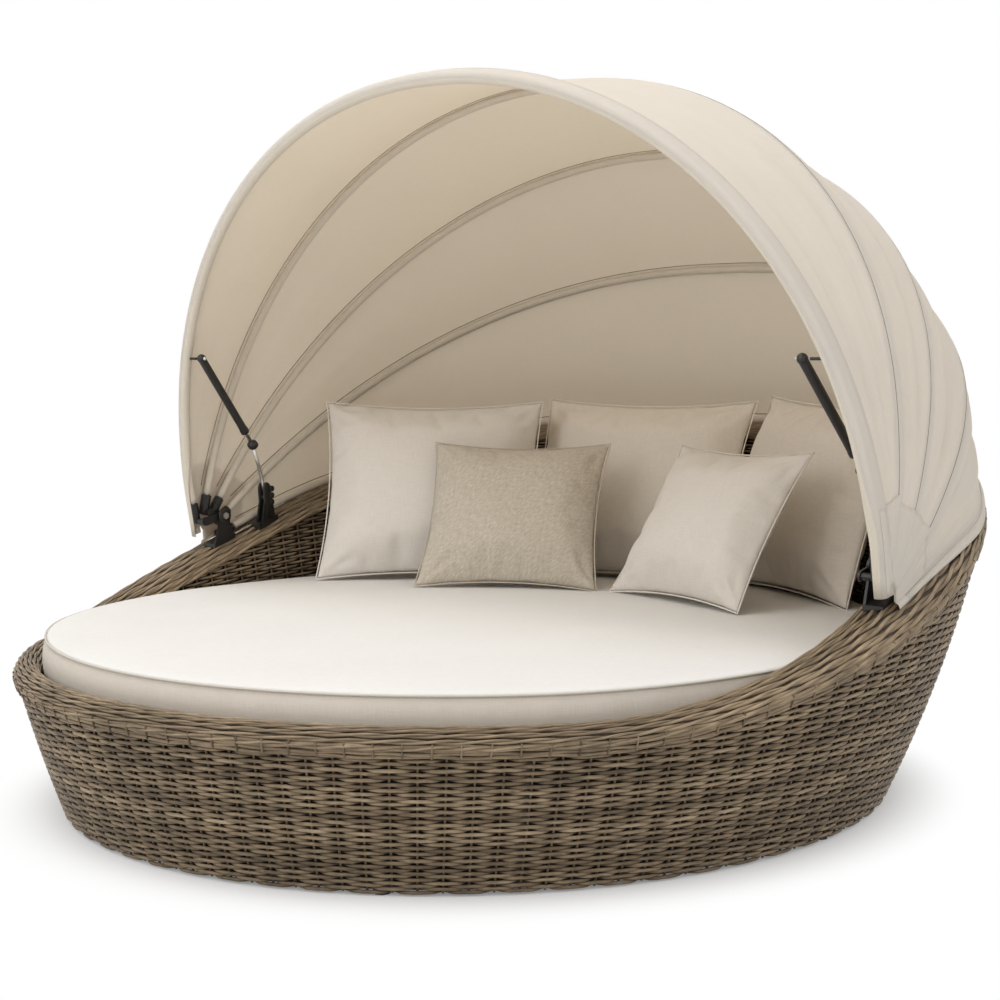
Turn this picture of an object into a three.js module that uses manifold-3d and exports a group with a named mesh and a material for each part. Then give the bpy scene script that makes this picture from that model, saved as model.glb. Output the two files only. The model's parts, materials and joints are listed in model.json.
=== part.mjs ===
// Outdoor daybed with a folding canopy: an oval woven basket, a mattress, five pillows,
// and five bows that fan out of two hubs and carry the fabric.
// Units are millimetres. +Z is up, -Y is the open front, and the origin is on the ground
// under the centre leg. Angles round the oval start at the front.

import * as THREE from 'three';
import { mergeVertices } from 'three/addons/utils/BufferGeometryUtils.js';
import Module from 'manifold-3d';

const wasm = await Module();
wasm.setup();

// Basket. Its width follows the bows' feet, which stand over its rim.
const bowHalfWidth = 885;
const floorTuck = 85;
const floorHalfWidth = bowHalfWidth - floorTuck;
const floorHalfDepth = 877;
const spreadHalfWidth = 196;
const spreadHalfDepth = 173;
const wallBulgeShare = 0.62;
const backLean = 30;
const frontRimHeight = 285;
const backRimHeight = 700;
const rimStartAngle = 50;
const rimEndAngle = 160;
const frontRimWidth = 40;
const backRimWidth = 124;
const widthStartAngle = 45;
const widthEndAngle = 100;
const rimRoll = 26;
const ovalSteps = 48;

// Clearances
const gap = 0.3;
const slideGap = 0.6;
const overrun = 2;

// Woven skin, the plaited cap over its rim and the strand under the cap
const skin = 6;
const skinBottom = 6;
const wallShares = [0, 0.3, 0.65, 1];
const rollAngles = [0, 12, 38, 64, 90, 116, 142, 168, 180];
const underAngles = [180, 135, 90, 45, 0];
const braidThickness = 7;
const bandDiameter = 15;
const bandDrop = 31;
const bandSides = 6;

// Welded frame
const frameTube = 20;
const frameBottom = 14;
const wallClearance = 5;
const rimTubeGap = 1.5;
const ribCount = 12;
const ringSteps = 24;
const seatRingTube = 22;
const seatRingInset = 8;
const strutDiameter = 12;
const strutSides = 4;

// Deck slats, glides and centre leg
const slatCount = 5;
const slatWidth = 120;
const slatThickness = 15;
const slatPitch = 300;
const glideCount = 6;
const glideDiameter = 30;
const legTube = 40;
const legFootWidth = 90;
const legFootThickness = 8;

// Mattress
const mattressBottom = 225;
const mattressSeam = 333;
const mattressCrown = 22;
const mattressClearance = 12;
const mattressTuck = 18;
const mattressSeamTuck = 4;
const mattressBulge = 4;
const mattressSideShares = [0, 0.18, 0.6, 0.94, 1];
const mattressTopShares = [0.94, 0.7, 0.35];

// Pillows: each stands on the mattress, turned about the upright and leaning back
const bigPillow = { width: 530, height: 465, half: 76, pull: 12, edge: 5 };
const widePillow = { ...bigPillow, width: 555 };
const smallPillow = { width: 415, height: 380, half: 64, pull: 10, edge: 5 };
const pillowSteps = 10;
const pillowPlaces = [
  { name: 'back_pillow_left', size: bigPillow, finish: 'linen', x: -414, y: 300, yaw: 36.5, lean: 28 },
  { name: 'back_pillow_centre', size: widePillow, finish: 'linen', x: -98, y: 606, yaw: 9, lean: 25 },
  { name: 'back_pillow_right', size: widePillow, finish: 'linen', x: 318, y: 634, yaw: -28, lean: 20 },
  { name: 'throw_pillow_centre', size: smallPillow, finish: 'twill', x: -150, y: 252, yaw: 27, lean: 34 },
  { name: 'throw_pillow_right', size: smallPillow, finish: 'linen', x: 256, y: 306, yaw: -16.5, lean: 33 },
];

// Hubs: at each side one bolt carries four knuckles, and each knuckle holds a bow's foot
const hubY = 60;
const hubRise = 61.54;
const boltDiameter = 8;
const boltHeadDiameter = 16;
const boltHeadHeight = 6;
const boltHeadSides = 6;
const plateThickness = 5;
const plateEnd = 10;
const plateOrder = [1, 2, 4, 3];
const stubDiameter = 14;
const cupDiameter = 23;
const cupLength = 46;
const cupTail = 4;
const lobePitch = 25;
const lobeStart = 57;
const roundSides = 8;
const arcSteps = 5;

// Bows: tilt from upright (forward is positive), reach, and how square the arch is
const bowDiameter = 16;
const bowStraight = 45;
const bowSteps = 24;
const bows = [
  { tilt: 11.16, reach: 940, squareShare: 2.08 },
  { tilt: -13.8, reach: 970, squareShare: 2.14 },
  { tilt: -35.23, reach: 1020, squareShare: 2.14 },
  { tilt: -54.62, reach: 1040, squareShare: 2.32 },
];
const rearBowStartAngle = 93.5;
const rearBowSettleAngle = 24;
const rearBowInset = 22;
const rearBowLift = 3;

// Fabric: four panels from bow to bow, with a binding in front and a hem over the rim
const fabric = 3;
const fabricGap = 2;
const fabricSteps = 4;
const seamGap = 0.4;
const frontBinding = 10;
const fabricFlap = 36;
const fabricSag = 12;
const foldDepth = 20;
const foldCount = 10;
const foldShiftAngle = 97;
const hemTurnAngle = 27;
const hemLift = 4;

// Brackets on the rim
const footThickness = 7;
const footDepth = 16;
const hubFootLength = 66;
const hubWaist = 17;
const hubTop = 13;
const rimPasses = 4;

// Knee stays: a rod in a sleeve, a knee, and a bent lever on a bracket of its own
const stayX = bowHalfWidth - 112;
const stayReach = 390;
const kneeX = bowHalfWidth - 85;
const kneeY = 110;
const kneeRise = 130;
const leverX = bowHalfWidth - 52;
const leverY = 182;
const leverRise = 59.59;
const leverBendY = 168;
const leverBendRise = 52;
const leverDiameter = 9;
const leverEyeDiameter = 16;
const leverPinDiameter = 6;
const leverEarThickness = 6;
const leverEarEnd = 11;
const leverEarBase = 22;
const leverFootLength = 60;
const leverFootReach = 30;
const kneeDiameter = 25;
const stayRodDiameter = 9;
const stayEyeDiameter = 16;
const stayEyeWidth = 12;
const staySleeveDiameter = 16;
const staySleeveStart = 40;
const staySleeveEnd = 16;
const clampLength = 34;
const clampWall = 3;
const clampPinGap = 10;
const tieDiameter = 5;
const tieX = bowHalfWidth - 33;
const ballSides = 10;
const ballRows = 6;

const rad = THREE.MathUtils.degToRad;
const deg = THREE.MathUtils.radToDeg;
const lerp = THREE.MathUtils.lerp;
const v3 = (x, y, z) => new THREE.Vector3(x, y, z);
const smooth = (share) => THREE.MathUtils.smoothstep(share, 0, 1);

const finishes = {
  wicker: { color: 0x8a7763, roughness: 0.75, metalness: 0 },
  aluminium: { color: 0x6f6a64, roughness: 0.45, metalness: 0.8 },
  wood: { color: 0x9a8468, roughness: 0.8, metalness: 0 },
  plastic: { color: 0x1b1a19, roughness: 0.45, metalness: 0 },
  steel: { color: 0xb9b6b0, roughness: 0.25, metalness: 1 },
  cream: { color: 0xe9e5dd, roughness: 0.95, metalness: 0 },
  linen: { color: 0xcdc2b1, roughness: 0.95, metalness: 0 },
  twill: { color: 0xb3a48d, roughness: 0.95, metalness: 0 },
  canopy: { color: 0xd3c8b8, roughness: 0.95, metalness: 0 },
};

const daybed = new THREE.Group();
daybed.name = 'daybed';

function addPiece(name, geometry, finish) {
  const mesh = new THREE.Mesh(geometry, new THREE.MeshStandardMaterial(finishes[finish]));
  mesh.name = name;
  daybed.add(mesh);
  return mesh;
}

function mirrored(geometry) {
  return facedOut(geometry.clone().scale(-1, 1, 1));
}

function addPair(name, geometry, finish) {
  addPiece(`${name}_right`, geometry, finish);
  addPiece(`${name}_left`, mirrored(geometry), finish);
}

function shellOf(positions, index) {
  const geometry = new THREE.BufferGeometry();
  geometry.setAttribute('position', new THREE.Float32BufferAttribute(positions, 3));
  geometry.setIndex(index);
  return geometry;
}

// The signed volume tells which way the faces point
function facedOut(geometry) {
  const corners = geometry.attributes.position;
  const index = geometry.index.array;
  const [a, b, c] = [v3(0, 0, 0), v3(0, 0, 0), v3(0, 0, 0)];
  let volume = 0;
  for (let i = 0; i < index.length; i += 3) {
    a.fromBufferAttribute(corners, index[i]);
    b.fromBufferAttribute(corners, index[i + 1]);
    c.fromBufferAttribute(corners, index[i + 2]);
    volume += a.dot(b.cross(c));
  }
  if (volume < 0) {
    for (let i = 0; i < index.length; i += 3) [index[i], index[i + 1]] = [index[i + 1], index[i]];
  }
  return geometry;
}

// The faces between rings of points that each have the same count
function wallBetween(rings, hoop) {
  const count = rings[0].length;
  const spans = hoop ? rings.length : rings.length - 1;
  const index = [];
  for (let i = 0; i < spans; i += 1) {
    const next = (i + 1) % rings.length;
    for (let j = 0; j < count; j += 1) {
      const k = (j + 1) % count;
      const [a, b, c, d] = [i * count + j, i * count + k, next * count + k, next * count + j];
      index.push(a, b, c, a, c, d);
    }
  }
  return index;
}

function flatten(rings) {
  return rings.flat().flatMap((p) => [p.x, p.y, p.z]);
}

// A closed ring of closed sections
function hoopLoft(rings) {
  return facedOut(shellOf(flatten(rings), wallBetween(rings, true)));
}

// A stack of closed sections with a fan over each end
function loft(rings) {
  const count = rings[0].length;
  const positions = flatten(rings);
  const index = wallBetween(rings, false);
  for (const end of [0, rings.length - 1]) {
    const middle = rings[end].reduce((sum, p) => sum.add(p), v3(0, 0, 0)).divideScalar(count);
    const centre = positions.length / 3;
    positions.push(middle.x, middle.y, middle.z);
    for (let j = 0; j < count; j += 1) {
      const [a, b] = [end * count + j, end * count + ((j + 1) % count)];
      index.push(centre, ...(end === 0 ? [b, a] : [a, b]));
    }
  }
  return facedOut(shellOf(positions, index));
}

// A sheet: each section runs along one face and back along the other
function sheetLoft(rings) {
  const count = rings[0].length;
  const index = wallBetween(rings, false);
  for (const end of [0, rings.length - 1]) {
    for (let j = 0; j < count / 2 - 1; j += 1) {
      const [a, d] = [end * count + j, end * count + count - 1 - j];
      const [b, c] = [a + 1, d - 1];
      index.push(...(end === 0 ? [a, c, b, a, d, c] : [a, b, c, a, c, d]));
    }
  }
  return facedOut(shellOf(flatten(rings), index));
}

function solidOf(geometry) {
  const bare = geometry.clone();
  bare.deleteAttribute('normal');
  bare.deleteAttribute('uv');
  const merged = mergeVertices(bare);
  return new wasm.Manifold(new wasm.Mesh({
    numProp: 3,
    vertProperties: new Float32Array(merged.attributes.position.array),
    triVerts: new Uint32Array(merged.index.array),
  }));
}

function geometryOf(solid) {
  const mesh = solid.getMesh();
  return shellOf(Array.from(mesh.vertProperties), Array.from(mesh.triVerts));
}

function joined(...parts) {
  return geometryOf(parts.map(solidOf).reduce((sum, part) => sum.add(part)));
}

function cut(geometry, ...tools) {
  return geometryOf(tools.map(solidOf).reduce((rest, tool) => rest.subtract(tool), solidOf(geometry)));
}

function rod(from, to, diameter, sides = roundSides) {
  const length = from.distanceTo(to);
  const along = to.clone().sub(from).normalize();
  const geometry = new THREE.CylinderGeometry(diameter / 2, diameter / 2, length, sides);
  geometry.applyQuaternion(new THREE.Quaternion().setFromUnitVectors(v3(0, 1, 0), along));
  const middle = from.clone().add(to).divideScalar(2);
  return geometry.translate(middle.x, middle.y, middle.z);
}

// A hole whose flats clear a round bar as it turns
function holeFor(diameter) {
  return (diameter + 2 * gap) / Math.cos(Math.PI / roundSides);
}

// A short rod along X through a point
function crossRod(centre, inner, outer, diameter) {
  return rod(centre.clone().setX(inner), centre.clone().setX(outer), diameter);
}

function ball(centre, diameter) {
  const geometry = new THREE.SphereGeometry(diameter / 2, ballSides, ballRows);
  return geometry.translate(centre.x, centre.y, centre.z);
}

// A flat plate across X, from its outline in Y and Z
function crossPlate(shape, inner, thickness) {
  const geometry = new THREE.ExtrudeGeometry(shape, {
    depth: thickness,
    bevelEnabled: false,
    curveSegments: arcSteps,
  });
  geometry.applyMatrix4(new THREE.Matrix4().makeBasis(v3(0, 1, 0), v3(0, 0, 1), v3(1, 0, 0)));
  return geometry.translate(inner, 0, 0);
}

function outline(points) {
  return new THREE.Shape(points.map(([y, z]) => new THREE.Vector2(y, z)));
}

// Basket shape: how far the wall has spread at a height, and a point at an inset from it
function wallPoint(angle, z, inset) {
  const share = z / backRimHeight;
  const spreadShare = share * (1 + wallBulgeShare * (1 - share));
  const halfWidth = floorHalfWidth + spreadHalfWidth * spreadShare - inset;
  const halfDepth = floorHalfDepth + spreadHalfDepth * spreadShare - inset;
  return v3(halfWidth * Math.sin(angle), backLean * share - halfDepth * Math.cos(angle), z);
}

function degreesFromFront(angle) {
  return Math.min(deg(angle), deg(2 * Math.PI - angle));
}

function rimHeight(angle) {
  const share = (degreesFromFront(angle) - rimStartAngle) / (rimEndAngle - rimStartAngle);
  return lerp(frontRimHeight, backRimHeight, smooth(share));
}

function rimWidth(angle) {
  const share = (degreesFromFront(angle) - widthStartAngle) / (widthEndAngle - widthStartAngle);
  return lerp(frontRimWidth, backRimWidth, smooth(share));
}

// A point on the rim's roll: 0 degrees is outside, 180 inside. Outset swells the roll evenly.
function rollPoint(angle, outset, turn) {
  const halfRoll = rimWidth(angle) / 2;
  const inset = halfRoll - (halfRoll + outset) * Math.cos(rad(turn));
  const z = rimHeight(angle) - rimRoll;
  return wallPoint(angle, z, inset).setZ(z + (rimRoll + outset) * Math.sin(rad(turn)));
}

// The cap's top at a place along the side, at the middle of the rim's width
function rimTopAt(y) {
  let angle = Math.PI / 2;
  for (let pass = 0; pass < rimPasses; pass += 1) {
    const z = rimHeight(angle);
    const middle = wallPoint(Math.PI / 2, z, 0).y;
    const reach = wallPoint(Math.PI, z, rimWidth(angle) / 2).y - middle;
    angle = Math.acos((middle - y) / reach);
  }
  return rimHeight(angle) + gap + braidThickness;
}

// The hub and the lever's pivot stand over the rim
const hubZ = rimTopAt(hubY) + hubRise;
const leverZ = rimTopAt(leverY) + leverRise;

function anglesRound(steps) {
  return Array.from({ length: steps }, (_, i) => (2 * Math.PI * i) / steps);
}
const ovalAngles = anglesRound(ovalSteps);

function ovalHoop(sectionAt) {
  return hoopLoft(ovalAngles.map(sectionAt));
}

// Woven skin: an outer wall that ends in the roll, and an inner wall that meets it there
const rollTurns = rollAngles.slice(1, -1);

function wallLine(angle, low, high, inset) {
  return wallShares.map((share) => wallPoint(angle, lerp(low, high, share), inset));
}

function outerSection(angle) {
  const top = rimHeight(angle) - rimRoll;
  return [
    ...wallLine(angle, skinBottom, top, skin),
    ...underAngles.slice(0, -1).reverse().map((turn) => rollPoint(angle, -skin, turn)),
    ...rollAngles.slice(1).reverse().map((turn) => rollPoint(angle, 0, turn)),
    ...wallLine(angle, skinBottom, top, 0).reverse(),
  ];
}
addPiece('wicker_outer', ovalHoop(outerSection), 'wicker');

function innerSection(angle) {
  const top = rimHeight(angle) - rimRoll - gap;
  const seat = mattressBottom - slatThickness;
  const width = rimWidth(angle);
  return [...wallLine(angle, seat, top, width), ...wallLine(angle, seat, top, width - skin).reverse()];
}
addPiece('wicker_inner', ovalHoop(innerSection), 'wicker');

function braidSection(angle) {
  const outer = rollTurns.map((turn) => rollPoint(angle, gap + braidThickness, turn));
  const inner = rollTurns.map((turn) => rollPoint(angle, gap, turn));
  return [...outer, ...inner.reverse()];
}
addPiece('rim_braid', ovalHoop(braidSection), 'wicker');

// Everything under the cap's top face, kept clear of it, to cut seats that fit the rim
const rimForm = ovalHoop((angle) => {
  const top = rollAngles.map((turn) => rollPoint(angle, braidThickness + 2 * gap, turn));
  const low = [top[top.length - 1], top[0]].map((p) => p.clone().setZ(p.z - rimRoll - footDepth));
  return [...top, ...low];
});

function bandSection(angle) {
  const z = rimHeight(angle) - bandDrop;
  return Array.from({ length: bandSides }, (_, i) => {
    const turn = (2 * Math.PI * i) / bandSides;
    const out = bandDiameter / 2 + gap + (bandDiameter / 2) * Math.cos(turn);
    return wallPoint(angle, z, -out).setZ(z + (bandDiameter / 2) * Math.sin(turn));
  });
}
addPiece('rim_band', ovalHoop(bandSection), 'wicker');

// Frame: floor ring, rim tube and seat ring, with ribs and struts between them
const halfTube = frameTube / 2;
const floorRingInset = skin + wallClearance;
const slatBottom = mattressBottom - gap - slatThickness;
const seatRingTop = slatBottom - gap;

// A square tube round the basket. Its inset counts from the wall at a level of its own.
function squareHoop(steps, tube, placeAt) {
  return hoopLoft(anglesRound(steps).map((angle) => {
    const { top, level, inset } = placeAt(angle);
    const outer = wallPoint(angle, level, inset).setZ(top);
    const inner = wallPoint(angle, level, inset + tube).setZ(top);
    return [outer, inner, inner.clone().setZ(top - tube), outer.clone().setZ(top - tube)];
  }));
}

// The tube's top corners come up to the underside of the roll, which has flat facets
function rimTubeTop(angle) {
  const facet = Math.cos(Math.PI / (2 * (underAngles.length - 1)));
  const cornerShare = halfTube / (rimWidth(angle) / 2 - skin);
  const rise = (rimRoll - skin) * Math.sqrt(facet ** 2 - cornerShare ** 2);
  return rimHeight(angle) - rimRoll + rise - rimTubeGap;
}

function ribInset(angle, share) {
  return lerp(floorRingInset + halfTube, rimWidth(angle) / 2, share ** 2);
}

function rib(angle) {
  const low = frameBottom + halfTube;
  const high = rimTubeTop(angle) - halfTube;
  const half = halfTube - overrun / 2;
  const across = v3(Math.cos(angle), Math.sin(angle), 0).multiplyScalar(half);
  const inward = v3(-Math.sin(angle), Math.cos(angle), 0).multiplyScalar(half);
  return loft(wallShares.map((share) => {
    const p = wallPoint(angle, lerp(low, high, share), ribInset(angle, share));
    const [left, right] = [p.clone().sub(across), p.clone().add(across)];
    return [
      left.clone().sub(inward),
      right.clone().sub(inward),
      right.clone().add(inward),
      left.clone().add(inward),
    ];
  }));
}

function strut(angle) {
  const z = seatRingTop - seatRingTube / 2;
  const low = frameBottom + halfTube;
  const share = (z - low) / (rimTubeTop(angle) - halfTube - low);
  const from = wallPoint(angle, z, ribInset(angle, share));
  const to = wallPoint(angle, z, rimWidth(angle) + seatRingInset + seatRingTube / 2);
  return rod(from, to, strutDiameter, strutSides);
}

const floorRing = squareHoop(ringSteps, frameTube, () => {
  return { top: frameBottom + frameTube, level: frameBottom, inset: floorRingInset };
});
const rimTube = squareHoop(ovalSteps, frameTube, (angle) => {
  const level = rimHeight(angle) - rimRoll;
  return { top: rimTubeTop(angle), level, inset: rimWidth(angle) / 2 - halfTube };
});
const seatRing = squareHoop(ringSteps, seatRingTube, (angle) => {
  return { top: seatRingTop, level: seatRingTop, inset: rimWidth(angle) + seatRingInset };
});
const ribAngles = Array.from({ length: ribCount }, (_, i) => (2 * Math.PI * (i + 0.5)) / ribCount);
addPiece(
  'basket_frame',
  joined(floorRing, rimTube, seatRing, ...ribAngles.map(rib), ...ribAngles.map(strut)),
  'aluminium',
);

// Deck slats end over the middle of the seat ring
function seatHalfWidthAt(y) {
  const line = anglesRound(ringSteps).map((angle) => {
    return wallPoint(angle, seatRingTop, rimWidth(angle) + seatRingInset + seatRingTube / 2);
  });
  const widths = line.flatMap((p, i) => {
    const q = line[(i + 1) % ringSteps];
    if ((p.y - y) * (q.y - y) > 0 || p.y === q.y) return [];
    return [lerp(p.x, q.x, (y - p.y) / (q.y - p.y))];
  });
  return Math.max(...widths);
}

for (let i = 0; i < slatCount; i += 1) {
  const y = (i - (slatCount - 1) / 2) * slatPitch;
  const reach = Math.min(...[-1, 1].map((side) => seatHalfWidthAt(y + (side * slatWidth) / 2)));
  const slat = new THREE.BoxGeometry(2 * reach, slatWidth, slatThickness);
  slat.translate(0, y, slatBottom + slatThickness / 2);
  addPiece(`deck_slat_${i + 1}`, slat, 'wood');
}

const legHeight = slatBottom - gap;
const legPost = new THREE.BoxGeometry(legTube, legTube, legHeight - overrun);
legPost.translate(0, 0, (legHeight + overrun) / 2);
const legFoot = new THREE.BoxGeometry(legFootWidth, legFootWidth, legFootThickness);
legFoot.translate(0, 0, legFootThickness / 2);
addPiece('centre_leg', joined(legPost, legFoot), 'aluminium');

for (let i = 0; i < glideCount; i += 1) {
  const angle = (2 * Math.PI * (i + 0.5)) / glideCount;
  const p = wallPoint(angle, frameBottom, floorRingInset + glideDiameter / 2);
  const height = frameBottom - gap;
  const glide = new THREE.CylinderGeometry(glideDiameter / 2, glideDiameter / 2, height, roundSides);
  glide.rotateX(Math.PI / 2).translate(p.x, p.y, height / 2);
  addPiece(`glide_${i + 1}`, glide, 'plastic');
}

// Mattress: a boxed pad, drawn in at the bottom, seamed round the top and slightly crowned.
// It follows the wall up to the roll of the rim, and stands straight above that.
const mattressTucks = [mattressTuck, mattressSeamTuck, -mattressBulge, 0, mattressSeamTuck];

function mattressRing(share, tuck) {
  const z = lerp(mattressBottom, mattressSeam, share);
  return ovalAngles.map((angle) => {
    const level = Math.min(z, rimHeight(angle) - rimRoll);
    return wallPoint(angle, level, rimWidth(angle) + mattressClearance + tuck).setZ(z);
  });
}

const seamRing = mattressRing(1, mattressSeamTuck);
const mattressTop = mattressTopShares.map((share) => {
  const z = mattressSeam + mattressCrown * (1 - share ** 2);
  return seamRing.map((p) => v3(p.x * share, p.y * share, z));
});
const mattressSides = mattressSideShares.map((share, i) => mattressRing(share, mattressTucks[i]));
addPiece('mattress', loft([...mattressSides, ...mattressTop]), 'cream');

// Pillows: two crowned faces, with the outline drawn in between its corners
function pillowGeometry({ width, height, half, pull, edge }) {
  const row = pillowSteps + 1;
  const positions = [];
  for (const side of [-1, 1]) {
    for (let k = 0; k < row * row; k += 1) {
      const u = (2 * (k % row)) / pillowSteps - 1;
      const v = (2 * Math.floor(k / row)) / pillowSteps - 1;
      const swell = Math.sqrt((1 - u * u) * (1 - v * v));
      const x = u * (width / 2 - pull * (1 - v * v));
      const z = height / 2 + v * (height / 2 - pull * (1 - u * u));
      positions.push(x, side * lerp(edge / 2, half, swell), z);
    }
  }
  const back = row * row;
  const index = [];
  for (let j = 0; j < pillowSteps; j += 1) {
    for (let i = 0; i < pillowSteps; i += 1) {
      const [a, b, c, d] = [j * row + i, j * row + i + 1, (j + 1) * row + i + 1, (j + 1) * row + i];
      index.push(a, b, c, a, c, d, back + a, back + c, back + b, back + a, back + d, back + c);
    }
  }
  const along = Array.from({ length: pillowSteps }, (_, i) => i);
  const rim = [
    ...along,
    ...along.map((i) => i * row + pillowSteps),
    ...along.map((i) => pillowSteps * row + pillowSteps - i),
    ...along.map((i) => (pillowSteps - i) * row),
  ];
  rim.forEach((a, i) => {
    const b = rim[(i + 1) % rim.length];
    index.push(a, back + a, back + b, a, back + b, b);
  });
  return facedOut(shellOf(positions, index));
}

// The mattress top's height, from the share of the way out to the seam that a point lies at
function mattressTopAt(x, y) {
  const share = Math.max(...seamRing.map((p, i) => {
    const q = seamRing[(i + 1) % ovalSteps];
    return (x * (q.y - p.y) - y * (q.x - p.x)) / (p.x * (q.y - p.y) - p.y * (q.x - p.x));
  }));
  const shares = [1, ...mattressTopShares];
  const inner = shares.findIndex((s) => s < share);
  const [low, high] = inner < 0 ? [shares.at(-1), shares.at(-1)] : [shares[inner - 1], shares[inner]];
  const crownAt = (s) => mattressCrown * (1 - s ** 2);
  const between = low === high ? 0 : (low - share) / (low - high);
  return mattressSeam + lerp(crownAt(low), crownAt(high), between);
}

// Each pillow comes down until a bottom corner meets the mattress
for (const { name, size, finish, x, y, yaw, lean } of pillowPlaces) {
  const pillow = addPiece(name, pillowGeometry(size), finish);
  pillow.rotation.set(-rad(lean), 0, rad(yaw), 'ZYX');
  const corners = [-1, 1].flatMap((side) => [-1, 1].map((face) => {
    return v3((side * size.width) / 2, (face * size.edge) / 2, 0).applyEuler(pillow.rotation);
  }));
  const rises = corners.map((p) => mattressTopAt(p.x + x, p.y + y) - p.z);
  pillow.position.set(x, y, Math.max(...rises) + gap);
}

// Bows: each stands in a plane of its own on a foot beside the hub bolt
function bowFrame({ tilt }, i) {
  const up = v3(0, -Math.sin(rad(tilt)), Math.cos(rad(tilt)));
  const ahead = v3(0, -up.z, up.y);
  const foot = v3(bowHalfWidth, hubY, hubZ).addScaledVector(ahead, lobeStart - lobePitch * i);
  return { up, foot };
}
const bowFrames = bows.map(bowFrame);

// Superellipse arches on short straight legs, from the left foot over to the right
const archTurns = Array.from({ length: bowSteps + 1 }, (_, k) => (Math.PI * k) / bowSteps);

function bowPath({ reach, squareShare }, i) {
  const { up, foot } = bowFrames[i];
  const arch = archTurns.map((turn) => {
    const x = -bowHalfWidth * Math.sign(Math.cos(turn)) * Math.abs(Math.cos(turn)) ** (2 / squareShare);
    const rise = bowStraight + (reach - bowStraight) * Math.sin(turn) ** (2 / squareShare);
    return foot.clone().setX(x).addScaledVector(up, rise);
  });
  return [foot.clone().setX(-bowHalfWidth), ...arch, foot.clone()];
}

// The rear bow lies on the rim. Its feet are in line with the others'.
const rearTurns = archTurns.map((turn) => {
  const start = rad(rearBowStartAngle);
  return lerp(2 * Math.PI - start, start, turn / Math.PI);
});

function rearBowSeat(angle) {
  const halfRoll = rimWidth(angle) / 2;
  const outer = wallPoint(rad(rearBowStartAngle), rimHeight(angle), 0).x - bowHalfWidth;
  const settled = smooth((degreesFromFront(angle) - rearBowStartAngle) / rearBowSettleAngle);
  const inset = lerp(outer, rearBowInset, settled);
  return { inset, turn: Math.acos((halfRoll - inset) / (halfRoll + gap + braidThickness)) };
}

function rearBowPoint(angle) {
  const { inset, turn } = rearBowSeat(angle);
  const cap = rimHeight(angle) - rimRoll + (rimRoll + gap + braidThickness) * Math.sin(turn);
  return wallPoint(angle, rimHeight(angle), inset).setZ(cap + rearBowLift + bowDiameter / 2);
}

const rearArch = rearTurns.map(rearBowPoint);
const rearFoot = rearArch[bowSteps].clone();
const rearUp = rearArch[bowSteps - 1].clone().sub(rearFoot).setX(0).normalize();
const rearStraightEnd = rearFoot.clone().addScaledVector(rearUp, bowStraight);
const rearPath = [
  rearFoot.clone().setX(-rearFoot.x),
  rearStraightEnd.clone().setX(-rearFoot.x),
  ...rearArch.slice(1, -1),
  rearStraightEnd,
  rearFoot,
];
const bowPaths = [...bows.map(bowPath), rearPath];

function alongPath(path, k) {
  const before = path[Math.max(k - 1, 0)];
  const after = path[Math.min(k + 1, path.length - 1)];
  return after.clone().sub(before).normalize();
}

// At each point of a bow, the direction square to it and away from the middle of the canopy
function outwardFrom(path) {
  return path.map((p, k) => {
    const along = alongPath(path, k);
    const away = p.clone().sub(v3(0, hubY, hubZ));
    return away.addScaledVector(along, -away.dot(along)).normalize();
  });
}
const bowOutward = bowPaths.map(outwardFrom);

// A round bar along a path, with a direction square to the path at each point
function barAlong(path, outward, diameter) {
  return loft(path.map((p, k) => {
    const side = alongPath(path, k).cross(outward[k]);
    return Array.from({ length: roundSides }, (_, j) => {
      const turn = (2 * Math.PI * j) / roundSides;
      const q = p.clone().addScaledVector(outward[k], (diameter / 2) * Math.cos(turn));
      return q.addScaledVector(side, (diameter / 2) * Math.sin(turn));
    });
  }));
}

function bowTube(i, diameter, extension = 0) {
  const path = bowPaths[i].map((p) => p.clone());
  const last = path.length - 1;
  path[0].addScaledVector(alongPath(bowPaths[i], 0), -extension);
  path[last].addScaledVector(alongPath(bowPaths[i], last), extension);
  return barAlong(path, bowOutward[i], diameter);
}

bows.forEach((_, i) => addPiece(`bow_${i}`, bowTube(i, bowDiameter), 'aluminium'));
addPiece('rear_bow', bowTube(bows.length, bowDiameter), 'aluminium');

// Knuckles: a plate on the bolt, a stub out to the bow, and a cup round the bow's foot
const plateStep = plateThickness + slideGap;
const bracketInner = bowHalfWidth - cupDiameter / 2 - slideGap - (bows.length + 1) * plateStep;
const hubPoint = v3(bowHalfWidth, hubY, hubZ);
const boltReach = bracketInner + bows.length * plateStep + plateThickness / 2;

function hubHole(outer) {
  return crossRod(hubPoint, bracketInner - overrun, outer, holeFor(boltDiameter));
}

// A plate with round ends from the bolt to a bow's foot
function knucklePlate(foot, inner) {
  const turn = Math.atan2(foot.z - hubZ, foot.y - hubY);
  const shape = new THREE.Shape();
  shape.absarc(hubY, hubZ, plateEnd, turn + Math.PI / 2, turn + (3 * Math.PI) / 2, false);
  shape.absarc(foot.y, foot.z, plateEnd, turn - Math.PI / 2, turn + Math.PI / 2, false);
  return crossPlate(shape, inner, plateThickness);
}

function cup(foot, up) {
  const low = foot.clone().addScaledVector(up, -cupTail);
  return rod(low, foot.clone().addScaledVector(up, cupLength - cupTail), cupDiameter);
}

// The socket follows the tube's own facets, with clearance all round
function socket(i) {
  return bowTube(i, bowDiameter + 2 * gap, gap);
}

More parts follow.
